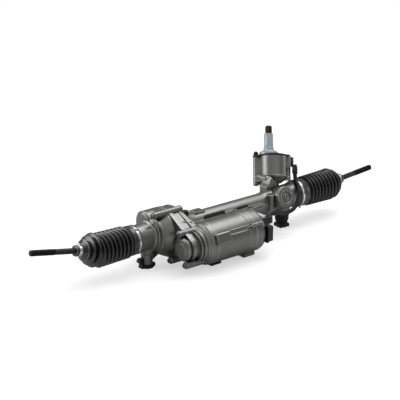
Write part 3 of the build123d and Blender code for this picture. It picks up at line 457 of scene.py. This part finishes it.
def boot(side, endFrame, rodFrame, ballOffset):
    node = side + "_boot"
    steps = bellows["steps"]
    first = ballOffset - bellows["foldBack"]  # the first fold's place

    collarProfile = [
        (0, 29.6), (0, 33.8), (0.7, 34.5), (2.3, 34.5), (3.1, 34), (3.6, 32.7), (10.4, 32.7), (11, 34), (11.8, 34.6),
        (first - 10.8, 34.6), (first - 9.4, 34.1), (first - 8.2, 32.6), (first - 7.4, 31), (first - 7.4, 29.6),
    ]
    collar = placed(turned(side + "BootCollar", collarProfile, steps), endFrame)
    finished(collar, "housing", bootElastomer, [node], 35)

    valley, growth = bellows["valley"], bellows["valleyGrowth"]
    slide = [(15, 30.6), (first - 8, 30.8), (first - 6.5, valley + 0.3), (first - 5.5, valley)]
    for index in range(bellows["folds"]):
        before = valley + growth * index
        top = bellows["ridge"] + bellows["ridgeGrowth"] * index
        slide += fold(first + bellows["pitch"] * index, top, before, before + growth)
    piece = smoothed(placed(turned(side + "BootBellows", walled(slide), steps), endFrame), 60)
    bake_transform(piece)
    finished(piece, None, bootElastomer, [node])

    for name, run in noseRuns.items():
        low, high = run["ridges"]
        line = [(run["start"], run["skirt"]), ((run["start"] + low) / 2 + 1, run["skirt"])]
        before = run["skirt"]
        for middle, (top, after) in bellows["noseRidge"].items():
            if low <= middle <= high:
                line += fold(middle, top, before, after)
                before = after
        if name == "BootNose":
            line = [point for point in line if point[0] < bellows["noseEnd"]] + bellows["noseTip"]
        piece = smoothed(placed(turned(side + name, walled(line), steps), rodFrame), 60)
        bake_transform(piece)
        finished(piece, None, bootElastomer, [node])

    neck = placed(turned(side + "BootNeck", bellows["neck"], bellows["neckSteps"]), rodFrame)
    finished(neck, side + "_neck", bootElastomer, [node], 35)


# clamps: a thin band with rolled edges, and the pinched ear that tightens it
clamps = {
    "large": {"start": 4, "end": 10, "inner": 32.6, "outer": 33.9, "earAngle": -120, "earHeight": 5},
    "small": {"start": 51, "end": 58, "inner": 11.4, "outer": 12.7, "earAngle": 90, "earHeight": 4},
}


def crimpEar(name, spot, width, height):
    # stands along x of its frame, as wide as the band along z
    outline = [
        (-0.6, -4.6), (0.2, -4.6), (0.3, -2.6), (0.9, -1.7), (height * 0.55, -2), (height * 0.85, -1.6), (height, 0),
        (height * 0.85, 1.6), (height * 0.55, 2), (0.9, 1.7), (0.3, 2.6), (0.2, 4.6), (-0.6, 4.6),
    ]
    ear = extruded(name, outline, -width / 2, width / 2)
    return placed(edgesBevelled(ear, 0.35), spot)


def bandClamp(name, spot, clamp, body, node):
    start, end, inner, outer = clamp["start"], clamp["end"], clamp["inner"], clamp["outer"]
    band = placed(turned(name, [
        (start, inner), (start, outer - 0.3), (start + 0.4, outer), (start + 1.1, outer - 0.15),
        (end - 1.1, outer - 0.15), (end - 0.4, outer), (end, outer - 0.3), (end, inner),
    ], 96), spot)
    turnedFrame = spot @ Matrix.Rotation(radians(clamp["earAngle"]), 4, "Z") @ shifted(outer, 0, (start + end) / 2)
    ear = crimpEar(name + "Ear", turnedFrame, end - start - 1, clamp["earHeight"])
    finished(joined(name, [band, ear]), body, stainlessBand, [node], 35)


# tie rods, with their ball and rolled thread
rod = {"length": 180, "threadStart": 115, "ball": 13, "neck": 6, "shank": 6.6, "core": 6.1, "crest": 7, "pitch": 1.5}


def threadRun(name, core, crest, pitch, turns):
    # one tooth of the thread swept along its helix with the Screw modifier
    tooth = ((core, 0), (crest, 0.42), (crest, 0.58), (core, 1))
    piece = drawn(name, [(radius, 0, share * pitch) for radius, share in tooth])
    bpy.ops.object.mode_set(mode="OBJECT")
    applyModifier(
        piece, "SCREW", angle=2 * pi, screw_offset=pitch * mm, iterations=turns, steps=28, render_steps=28,
        use_merge_vertices=True, merge_threshold=merging["thread"], use_smooth_shade=False,
    )
    return piece


def tieRod(side, rodFrame):
    arc = [pi - (pi - 0.48) * step / 20 for step in range(21)]
    profile = [(rod["ball"] * cos(angle), max(rod["ball"] * sin(angle), 0)) for angle in arc]
    profile += [
        (22, rod["neck"]), (26, rod["shank"]), (rod["threadStart"] - 2, rod["shank"]),
        (rod["threadStart"], rod["core"]), (rod["length"] - 1.2, rod["core"]),
        (rod["length"], rod["core"] - 1.2), (rod["length"], 0),
    ]
    shaft = placed(turned(side + "TieRod", profile, 48), rodFrame)
    turns = int((rod["length"] - rod["threadStart"] - 3) / rod["pitch"])
    thread = threadRun(side + "RodThread", rod["core"] - 0.2, rod["crest"], rod["pitch"], turns)
    placed(thread, rodFrame @ shifted(0, 0, rod["threadStart"] + 0.8))
    whole = joined(side + "TieRod", [shaft, thread])
    finished(whole, side + "_rod", phosphatedSteel, [side + "_tie_rod"], 35)


ends = {
    "left": (-1, place["leftLip"], place["leftBall"], place["leftRise"]),
    "right": (1, place["rightLip"], place["rightBall"], place["rightRise"]),
}
sweep = radians(place["rodSweep"])
for side, (sign, lip, ballOffset, rise) in ends.items():
    level = cos(radians(rise))
    rodDirection = Vector((sign * level * cos(sweep), level * sin(sweep), sin(radians(rise))))
    endFrame = axisFrame((lip, 0, place["rackHeight"]), (sign, 0, 0), (0, 1, 0))
    ballCentre = (lip + sign * ballOffset, 0, place["rackHeight"])
    rodFrame = axisFrame(ballCentre, rodDirection, Vector((0, 0, 1)).cross(rodDirection))
    boot(side, endFrame, rodFrame, ballOffset)
    bandClamp(side + "BootClamp", endFrame, clamps["large"], "housing", "boot_clamps")
    bandClamp(side + "SmallClamp", rodFrame, clamps["small"], side + "_neck", side + "_small_clamp")
    tieRod(side, rodFrame)
print("boots, clamps and tie rods made")

# input shaft with its splined end; a tooth's outline is given by shares of its pitch
spline = {
    "teeth": 36,
    "tip": 8.2,
    "root": 7.4,
    "start": 165.8,
    "end": 184.2,
    "shaft": [
        (60.5, 2.8), (60.5, 12), (90, 12), (91, 8.5), (164.2, 8.5), (165.4, 7.4), (184.8, 7.4), (186, 6.4), (186, 0),
        (151, 0), (151, 2.8),
    ],
}
toothShape = ((-0.5, "root"), (-0.2, "root"), (-0.09, "tip"), (0.09, "tip"), (0.2, "root"))
shaft = placed(turned("inputShaft", spline["shaft"], 64), pinionAxis)
toothOutline = []
for tooth in range(spline["teeth"]):
    middle = 2 * pi * tooth / spline["teeth"]
    for share, level in toothShape:
        angle = middle + share * 2 * pi / spline["teeth"]
        toothOutline.append((spline[level] * cos(angle), spline[level] * sin(angle)))
serrations = placed(extruded("serrations", toothOutline, spline["start"], spline["end"]), pinionAxis)
whole = joined("inputShaft", [shaft, serrations])
finished(whole, "input_body", splineSteel, ["input_shaft"], 30)
print("input shaft made")

# bolts of the belt case: y, z from the rack axis, and the x of the seat
bolts = {
    "upper": (-20, 52, -208), "middle": (-78, 17, -183), "lower": (-43, -56, -178), "foot": (-102, -50, -182),
    "rear": (58, -27, -180),
}
boltShape = {
    "flange": [(-12, 0), (-12, 4), (0, 4), (0, 7.2), (0.7, 7.2), (1.5, 6.4), (2.2, 5.2), (2.2, 0)],
    "corner": 5.77,
    "head": (1, 5.5),
    "turn": 15,
}
boltPieces = []
for name, (y, z, seat) in bolts.items():
    spot = axisFrame((seat, y, place["rackHeight"] + z), (-1, 0, 0), (0, 1, 0))
    flange = turned(name + "BoltFlange", boltShape["flange"], 48)
    angles = [radians(boltShape["turn"] + 60 * side) for side in range(6)]
    hexagon = [(boltShape["corner"] * cos(angle), boltShape["corner"] * sin(angle)) for angle in angles]
    head = edgesBevelled(extruded(name + "BoltHead", hexagon, *boltShape["head"]), 0.45)
    boltPieces += [placed(flange, spot), placed(head, spot)]
finished(joined("caseBolts", boltPieces), "housing", darkZinc, ["case_bolts"], 35)
print("bolts made")

# rubber of the feet; each lobe is its name, x, y, radius and height
feet = {
    "at": 212.5,
    "voxel": 0.8,
    "leftCollar": [
        (0, 8), (0, 15.6), (0.9, 16.5), (5.6, 16.5), (7, 15.2), (7.4, 13.6), (10, 13.4), (10, 8),
    ],
    "leftSide": [
        (-13.5, 0), (-18.5, 0), (-20, 2.5), (-19, 6.5), (-17.2, 9), (-19, 12), (-23.4, 13.6), (-25.4, 17), (-24, 22),
        (-19.5, 24.4), (-14.6, 24.4), (-14.6, 9), (-13.5, 7),
    ],
    "leftSideWidth": 14,
    "leftLobes": (("leftLobeA", 15, -5, 4.9, 9.5), ("leftLobeB", 2, 15, 4.9, 8.5)),
    "rightCone": [
        (0, 8), (0, 14.5), (2, 15.5), (5.5, 15.5), (8, 13.5), (12, 14.5), (20, 17), (24, 17.6), (25, 16.8), (27, 16.8),
        (28, 18), (44, 19.2), (44, 8),
    ],
    "rightLobes": {"angles": (40, 130, 220, 310), "out": 15, "radius": 4.4, "height": 9},
}


def mouldedRubber(name, pieces, spot):
    # melts overlapping lumps into one moulded block with soft edges
    whole = placed(joined(name, pieces), spot)
    applyModifier(whole, "REMESH", mode="VOXEL", voxel_size=feet["voxel"] * mm, use_smooth_shade=True)
    applyModifier(whole, "SMOOTH", factor=0.6, iterations=4)
    return whole


def lump(name, x, y, radius, high):
    profile = [(0, 0), (0, radius - 0.8), (0.8, radius), (high - 1.6, radius), (high, radius - 1.6), (high, 0)]
    return placed(turned(name, profile, 32), shifted(x, y, 0))


collar = turned("leftFootCollar", feet["leftCollar"], 64)
sideLobe = extruded("leftSideLobe", feet["leftSide"], -feet["leftSideWidth"] / 2, feet["leftSideWidth"] / 2)
placed(sideLobe, Matrix.Rotation(pi / 2, 4, "X"))
pieces = [collar, sideLobe] + [lump(*lobe) for lobe in feet["leftLobes"]]
leftRubber = mouldedRubber("leftFootRubber", pieces, shifted(-feet["at"], 0, 0))
finished(leftRubber, "housing", footRubber, ["left_mount_bush"])

lobes = feet["rightLobes"]
pieces = [turned("rightFootCone", feet["rightCone"], 64)]
for angle in lobes["angles"]:
    x, y = lobes["out"] * cos(radians(angle)), lobes["out"] * sin(radians(angle))
    pieces.append(lump("rightLobe" + str(angle), x, y, lobes["radius"], lobes["height"]))
rightRubber = mouldedRubber("rightFootRubber", pieces, shifted(feet["at"], 0, 0))
finished(rightRubber, "housing", footRubber, ["right_mount_bush"])
print("feet made")

# caps over the sensor screws, their profiles measured from the base
capBase = 111.2
potLugs = {
    "left": {
        "at": (-25.6, 19.2),
        "profile": (
            (0, 0), (0, 6.2), (1.2, 6.3), (1.8, 5.6), (3, 5.6), (3.6, 6), (7, 5.8), (8.6, 4.4), (10, 3.9), (10, 0),
        ),
    },
    "right": {
        "at": (36.8, -27.6),
        "profile": ((0, 0), (0, 6), (1, 5.8), (2.1, 5), (2.6, 3.6), (2.6, 0)),
    },
}
capPieces = []
for name, lug in potLugs.items():
    lugCap = turned(name + "ScrewCap", [(capBase + height, radius) for height, radius in lug["profile"]], 40)
    capPieces.append(placed(lugCap, pinionAxis @ shifted(lug["at"][0], lug["at"][1], 0)))
finished(joined("sensorScrewCaps", capPieces), "housing", footRubber, ["sensor_bolts"], 40)

ventPlug = {
    "at": (-104, -8, 0),
    "profile": [
        (98, 0), (98, 5), (103, 5), (103, 7.4), (104, 8.4), (107, 8.4), (107.6, 7.2), (108.6, 7.2), (109.2, 8.6),
        (112, 8.6), (113.4, 7.4), (114, 4.6), (113.4, 2.4), (113.4, 0),
    ],
}
vent = placed(turned("ventPlug", ventPlug["profile"], 48), shifted(*ventPlug["at"]))
finished(vent, "housing", filledNylon, ["vent_plug"], 35)
print("caps and vent made")

# plug of the yoke: a black cap in a staked ring, with its adjusting screw
yokeShape = {
    "plug": [
        (38, 0), (38, 15.4), (44.6, 15.4), (44.6, 13.6), (45.6, 13.2), (45.6, 10.6), (44.6, 10.2), (44.6, 5.2),
        (45.4, 4.9), (45.4, 0),
    ],
    "ring": [(44.4, 13.3), (46.4, 13.5), (46.9, 13.9), (46.9, 15.2), (46.6, 15.5), (44.4, 15.5)],
    "adjuster": [(44.4, 7), (46, 7.1), (46.4, 7.5), (46.4, 9.6), (46, 10.1), (44.4, 10.2)],
    "screw": [(45.2, 0), (45.2, 4.9), (46.6, 4.9), (47, 4.5), (47, 2.6), (45.4, 2.2), (45.4, 0)],
}
yokePlug = placed(turned("yokePlug", yokeShape["plug"]), yokeAxis)
finished(yokePlug, "housing", filledNylon, ["yoke_plug"], 30)
yokeRing = placed(turned("yokeRing", yokeShape["ring"]), yokeAxis)
finished(yokeRing, "housing", castAluminium, smooth=30)
pieces = [turned("yokeAdjuster", yokeShape["adjuster"]), turned("yokeScrew", yokeShape["screw"], 48)]
yokeAdjuster = placed(joined("yokeAdjuster", pieces), yokeAxis)
finished(yokeAdjuster, "housing", castAluminium, smooth=30)
print("yoke plug made")

# rubber lip round the sensor cover
coverLip = {"centre": (8.8, -6.6), "radius": 36.2, "lugRadius": 8.2, "low": 107.4, "high": 111.5, "steps": 72}
circles = [(coverLip["centre"], coverLip["radius"])]
circles += [(lug["at"], coverLip["lugRadius"]) for lug in potLugs.values()]
angles = [2 * pi * step / coverLip["steps"] for step in range(coverLip["steps"])]
rim = [
    Vector((at[0] + radius * cos(angle), at[1] + radius * sin(angle))) for at, radius in circles for angle in angles
]
rim = [tuple(rim[index]) for index in convex_hull_2d(rim)]
lip = edgesBevelled(extruded("coverLip", rim, coverLip["low"], coverLip["high"]), 0.6, 60)
finished(placed(lip, pinionAxis), "housing", footRubber, smooth=30)
print("cover lip made")

# black pieces in the slots of the rack tube, each by its x, length, height and angle, and in the slots of the rail, by
# their ends; they paint the deep shade of the slots
slots = {
    "tube": {"long": (-25, 66, 11.5, 148), "short": (62, 36, 6.5, 149)},
    "tubeDepth": (20, 25.9),
    "rail": ((-62, -4), (38, 92)),
    "railY": -30.5,
    "railWidth": 7.1,
    "railCorner": 3.5,
    "railDepth": (79.5, 84),
    "cornerSteps": 8,
}
slotPieces = []
for name, (middle, length, height, angle) in slots["tube"].items():
    out = (0, cos(radians(angle)), sin(radians(angle)))
    spot = axisFrame((middle, 0, place["rackHeight"]), out, (1, 0, 0))
    outline = roundedOutline(length, height, height / 2 - 0.1, steps=slots["cornerSteps"])
    shadePiece = edgesBevelled(extruded(name + "ShadeFill", outline, *slots["tubeDepth"]), 0.5, 60)
    slotPieces.append(placed(shadePiece, spot))
for start, end in slots["rail"]:
    middle = ((start + end) / 2, slots["railY"])
    outline = roundedOutline(
        end - start - 0.4, slots["railWidth"], slots["railCorner"], middle, slots["cornerSteps"]
    )
    slotPieces.append(extruded("railShadeFill", outline, *slots["railDepth"]))
finished(joined("slotShadeFills", slotPieces), "housing", footRubber, smooth=30)
print("slot inserts made")

# two plugged core holes on the flank between rack and motor: x, y and radius
flank = {
    "plugs": {"large": (-144, -51, 5), "small": (-133.5, -61.5, 3.4)},
    "out": (0, -0.348, 0.937),
    "edgeY": -17.4,
    "edgeZ": 121.9,
}
rims, caps = [], []
for name, (x, y, radius) in flank["plugs"].items():
    z = flank["edgeZ"] + (y - flank["edgeY"]) * -flank["out"][1] / flank["out"][2]
    spot = axisFrame((x, y, z), flank["out"], (1, 0, 0))
    rimProfile = [
        (-2, radius), (-2, radius + 2), (0.5, radius + 1.8), (1.1, radius + 1.2), (1.1, radius + 0.4), (0.6, radius),
    ]
    capProfile = [(-2, 0), (-2, radius), (0.2, radius), (0.5, radius - 0.6), (0.1, radius - 1.6), (0.1, 0)]
    rims.append(placed(turned(name + "Rim", rimProfile, 40), spot))
    caps.append(placed(turned(name + "Cap", capProfile, 40), spot))
finished(joined("flankRims", rims), "housing", castAluminium, smooth=30)
finished(joined("flankCaps", caps), "housing", footRubber, smooth=30)
print("flank plugs made")

# black pads on the motor's two feet, which paint the shade under the barrel: x, y, length, width and height
footShadePads = {"motorFootShade": (-83, -83, 31, 23.4, 8), "controlFootShade": (20, -87, 24, 23.4, 6)}
footShadePieces = []
for name, (x, y, length, width, height) in footShadePads.items():
    footShadePad = extruded(name, roundedOutline(length, width, 3, (x, y)), 0, height)
    footShadePieces.append(edgesBevelled(footShadePad, 0.8, 60))
finished(joined("motorFeetShade", footShadePieces), "housing", footRubber, smooth=30)
print("shoes made")

# plug of the torque sensor, beside the pinion tower
sensorPlugShape = {
    "rows": [
        ("plugSocket", 7, 17, 2, (56.8, 0), 84, 106, 0.4), ("plugBody", 11, 18, 2.5, (63, 0), 69.5, 88, 0.5),
        ("plugCollar", 12, 19, 3, (63, 0), 72, 74.5, 0.5), ("plugLatch", 2.4, 6, 0.6, (69, 0), 72, 84, 0.4),
    ] + [("plugGrip", 1.2, 5, 0.4, (70, 0), low, low + 1, 0) for low in (73, 75.4, 77.8)],
    "tail": [(66, 5.2), (66, 6.2), (69, 6.8), (70.5, 8), (70.5, 0), (66, 0)],
    "tailAt": 64,
}
plugX = pinionAcross * 0.8 - pinionDirection.cross(pinionAcross) * 0.6
plugAxis = axisFrame(place["pinionFoot"], pinionDirection, plugX)
tail = placed(turned("plugTail", sensorPlugShape["tail"], 40), shifted(sensorPlugShape["tailAt"], 0, 0))
sensorPlug = placed(joined("sensorPlug", blocks(sensorPlugShape["rows"]) + [tail]), plugAxis)
finished(sensorPlug, "housing", filledNylon, ["sensor_plug"], 35)

# plug of the harness at the control unit, with its lever, ribs and gland, and its white lock
harnessPlugShape = {
    "rows": [
        ("harnessShell", 36, 18, 3, (-92, 77), 56, 78, 0.6), ("harnessRim", 37.6, 19.6, 3.6, (-92, 77), 57.5, 60, 0.5),
        ("harnessBack", 20, 15, 4, (-84, 78), 77, 90, 1), ("harnessLever", 24, 3, 1.2, (-92, 87), 60, 72, 0.5),
    ] + [("harnessRib", 36.8, 18.8, 3.4, (-92, 77), low, low + 1.2, 0) for low in (64, 67.2, 70.4)],
    "gland": [
        (89, 5), (89, 6.4), (91, 6.4), (91.6, 5.9), (92.4, 5.9), (93, 6.4), (95.2, 6.4), (96, 5.6), (96, 5),
    ],
    "glandAt": (-80, 78),
    "lock": [("lockSlide", 34, 5, 0.8, (-93, 90.5), 43, 54.5, 0.4)]
    + [("slideRidge", 1.6, 1.4, 0.4, (y, 93.2), 44.5, 52.5, 0) for y in (-106, -102, -84, -80)],
}
acrossX = axisFrame((0, 0, 0), (1, 0, 0), (0, 1, 0))
gland = placed(turned("harnessGland", harnessPlugShape["gland"], 48), shifted(*harnessPlugShape["glandAt"], 0))
harnessPlug = placed(joined("harnessPlug", blocks(harnessPlugShape["rows"]) + [gland]), acrossX)
finished(harnessPlug, "housing", filledNylon, ["harness_plug"], 35)
lockSlide = placed(joined("lockSlide", blocks(harnessPlugShape["lock"])), acrossX)
finished(lockSlide, "housing", whiteAcetal, ["lock_slide"], 35)
print("plugs made")

# sensor harness, a limp cord from the sensor plug to the control unit's plug
harness = {
    "diameter": 10,
    "length": 0.215,  # metres
    "exitHeight": 66,
    "exitOut": 64,
    "straight": 17,
    "route": [
        (242, -27, 104), (230, -42, 91), (217, -51, 76), (203, -56, 64), (184, -59, 60), (162, -63, 61),
        (141, -70, 67), (119, -80, 78), (96, -80, 78),
    ],
}
harnessExit = Vector(place["pinionFoot"]) + pinionDirection * harness["exitHeight"] + plugX * harness["exitOut"]
harnessRoute = [tuple(harnessExit), tuple(harnessExit - pinionDirection * harness["straight"])] + harness["route"]
bpy.ops.object.select_all(action="DESELECT")
bpy.ops.curve.primitive_nurbs_path_add(radius=0.001, location=(0, 0, 0))
cord = bpy.context.object
cord.name = "sensorHarness"
cord.data.splines.clear()
line = cord.data.splines.new("NURBS")
line.points.add(len(harnessRoute) - 1)
for point, spot in zip(line.points, harnessRoute):
    point.co = (spot[0] * mm, spot[1] * mm, spot[2] * mm, 1)
line.order_u = 3
line.use_endpoint_u = True
line.resolution_u = 12
cord.data.dimensions = "3D"
cord.data.bevel_depth = harness["diameter"] / 2 * mm
cord.data.bevel_resolution = 8
cord.data.use_fill_caps = True
finished(cord, "housing", harnessSleeve, ["sensor_harness"])
print("harness laid")

# camera: its place in mm, its turn in degrees and its lens
view = {"place": (-2103.5, -2405, 1205), "yaw": 40.46, "pitch": 18.85, "lens": 128.9, "sensor": 36, "farthest": 50}
yaw, pitch = radians(view["yaw"]), radians(view["pitch"])
looking = Vector((sin(yaw) * cos(pitch), cos(yaw) * cos(pitch), -sin(pitch)))
bpy.ops.object.select_all(action="DESELECT")
bpy.ops.object.camera_add(location=Vector(view["place"]) * mm, rotation=looking.to_track_quat("-Z", "Y").to_euler())
camera = bpy.context.object
camera.data.lens = view["lens"]
camera.data.sensor_width = view["sensor"]
camera.data.clip_end = view["farthest"]
bpy.context.scene.camera = camera
print("camera placed")

# floor, world and lamps
studio = {
    "floorSize": 12,
    "floorGlow": 0.55,
    "glowReach": (0.7, 1.8),  # metres from the middle over which the floor turns to plain white
    "litPaper": (1.32, 1.32, 1.32, 1),
    "dimPaper": (0.6, 0.6, 0.6, 1),
    "white": (1, 1, 1, 1),
    "sky": ((0, 0.03), (0.5, 0.1), (0.66, 0.2), (0.84, 0.6), (1, 1)),  # height from the bottom: level
}
bpy.ops.object.select_all(action="DESELECT")
bpy.ops.mesh.primitive_plane_add(size=studio["floorSize"], location=(0, 0, 0))
floor = bpy.context.object
floor.name = "studioFloor"
# paper that looks white and keeps its shadow, and lights the object from below only dimly
paper = bpy.data.materials.new("studioPaper")
paper.use_nodes = True
paper.node_tree.nodes.clear()
lit = addNode(paper, "ShaderNodeBsdfDiffuse", {"Color": studio["litPaper"]})
glow = addNode(paper, "ShaderNodeEmission", {"Color": studio["white"], "Strength": 1})
onFloor = addNode(paper, "ShaderNodeTexCoord").outputs["Object"]
reach = addNode(paper, "ShaderNodeVectorMath", {"operation": "LENGTH"}, {0: onFloor})
glowNear, glowFar = studio["glowReach"]
glowRange = {"From Min": glowNear, "From Max": glowFar, "To Min": studio["floorGlow"], "To Max": 1}
glowShare = addNode(paper, "ShaderNodeMapRange", glowRange, {"Value": reach.outputs["Value"]})
seenLinks = {0: glowShare.outputs["Result"], 1: lit.outputs[0], 2: glow.outputs[0]}
seenPaper = addNode(paper, "ShaderNodeMixShader", None, seenLinks)
dimPaper = addNode(paper, "ShaderNodeBsdfDiffuse", {"Color": studio["dimPaper"]})
cameraRay = addNode(paper, "ShaderNodeLightPath").outputs["Is Camera Ray"]
paperMix = addNode(paper, "ShaderNodeMixShader", None, {0: cameraRay, 1: dimPaper.outputs[0], 2: seenPaper.outputs[0]})
addNode(paper, "ShaderNodeOutputMaterial", None, {"Surface": paperMix.outputs[0]})
floor.data.materials.append(paper)

world = bpy.data.worlds.new("studioWorld")
bpy.context.scene.world = world
world.use_nodes = True
world.node_tree.nodes.clear()
# the sky is dark at its rim and bright overhead, as in a light tent open at the sides
direction = addNode(world, "ShaderNodeTexCoord").outputs["Generated"]
height = addNode(world, "ShaderNodeSeparateXYZ", None, {"Vector": direction})
share = addNode(world, "ShaderNodeMapRange", {"From Min": -1, "From Max": 1}, {"Value": height.outputs["Z"]})
sky = addNode(world, "ShaderNodeValToRGB", None, {"Fac": share.outputs["Result"]})
for index, (position, level) in enumerate(studio["sky"]):
    stop = sky.color_ramp.elements[index] if index < 1 else sky.color_ramp.elements.new(position)
    stop.position = position
    stop.color = (level, level, level, 1)
sky.color_ramp.elements.remove(sky.color_ramp.elements[-1])
ambient = addNode(world, "ShaderNodeBackground", {"Strength": 1}, {"Color": sky.outputs["Color"]})
backdrop = addNode(world, "ShaderNodeBackground", {"Color": studio["white"], "Strength": 1})
cameraRay = addNode(world, "ShaderNodeLightPath").outputs["Is Camera Ray"]
worldMix = addNode(world, "ShaderNodeMixShader", None, {0: cameraRay, 1: ambient.outputs[0], 2: backdrop.outputs[0]})
addNode(world, "ShaderNodeOutputWorld", None, {"Surface": worldMix.outputs[0]})

# lamps: places, aims and sizes in metres, power in watts
lamps = {
    "overheadLamp": {"place": (0.7, 0.05, 1.6), "aim": (0, 0, 0.05), "size": 1.1, "power": 12},
    "leftLamp": {"place": (-1.4, 1.1, 0.7), "aim": (0.1, 0, 0.1), "size": 1.0, "power": 13},
    "frontLamp": {"place": (-0.2, -2.2, 0.7), "aim": (0, 0, 0.08), "size": 1.0, "power": 3},
    "rightLamp": {"place": (1.9, -0.75, 0.4), "aim": (0.1, 0, 0.1), "size": 0.9, "power": 3},
}
for name, lamp in lamps.items():
    toward = Vector(lamp["aim"]) - Vector(lamp["place"])
    turnedTo = toward.to_track_quat("-Z", "Y").to_euler()
    bpy.ops.object.light_add(type="AREA", location=lamp["place"], rotation=turnedTo)
    light = bpy.context.object
    light.name = name
    light.data.size = lamp["size"]
    light.data.energy = lamp["power"]
    light.visible_camera = False
bpy.context.scene.view_settings.view_transform = "Standard"
print("studio lit")
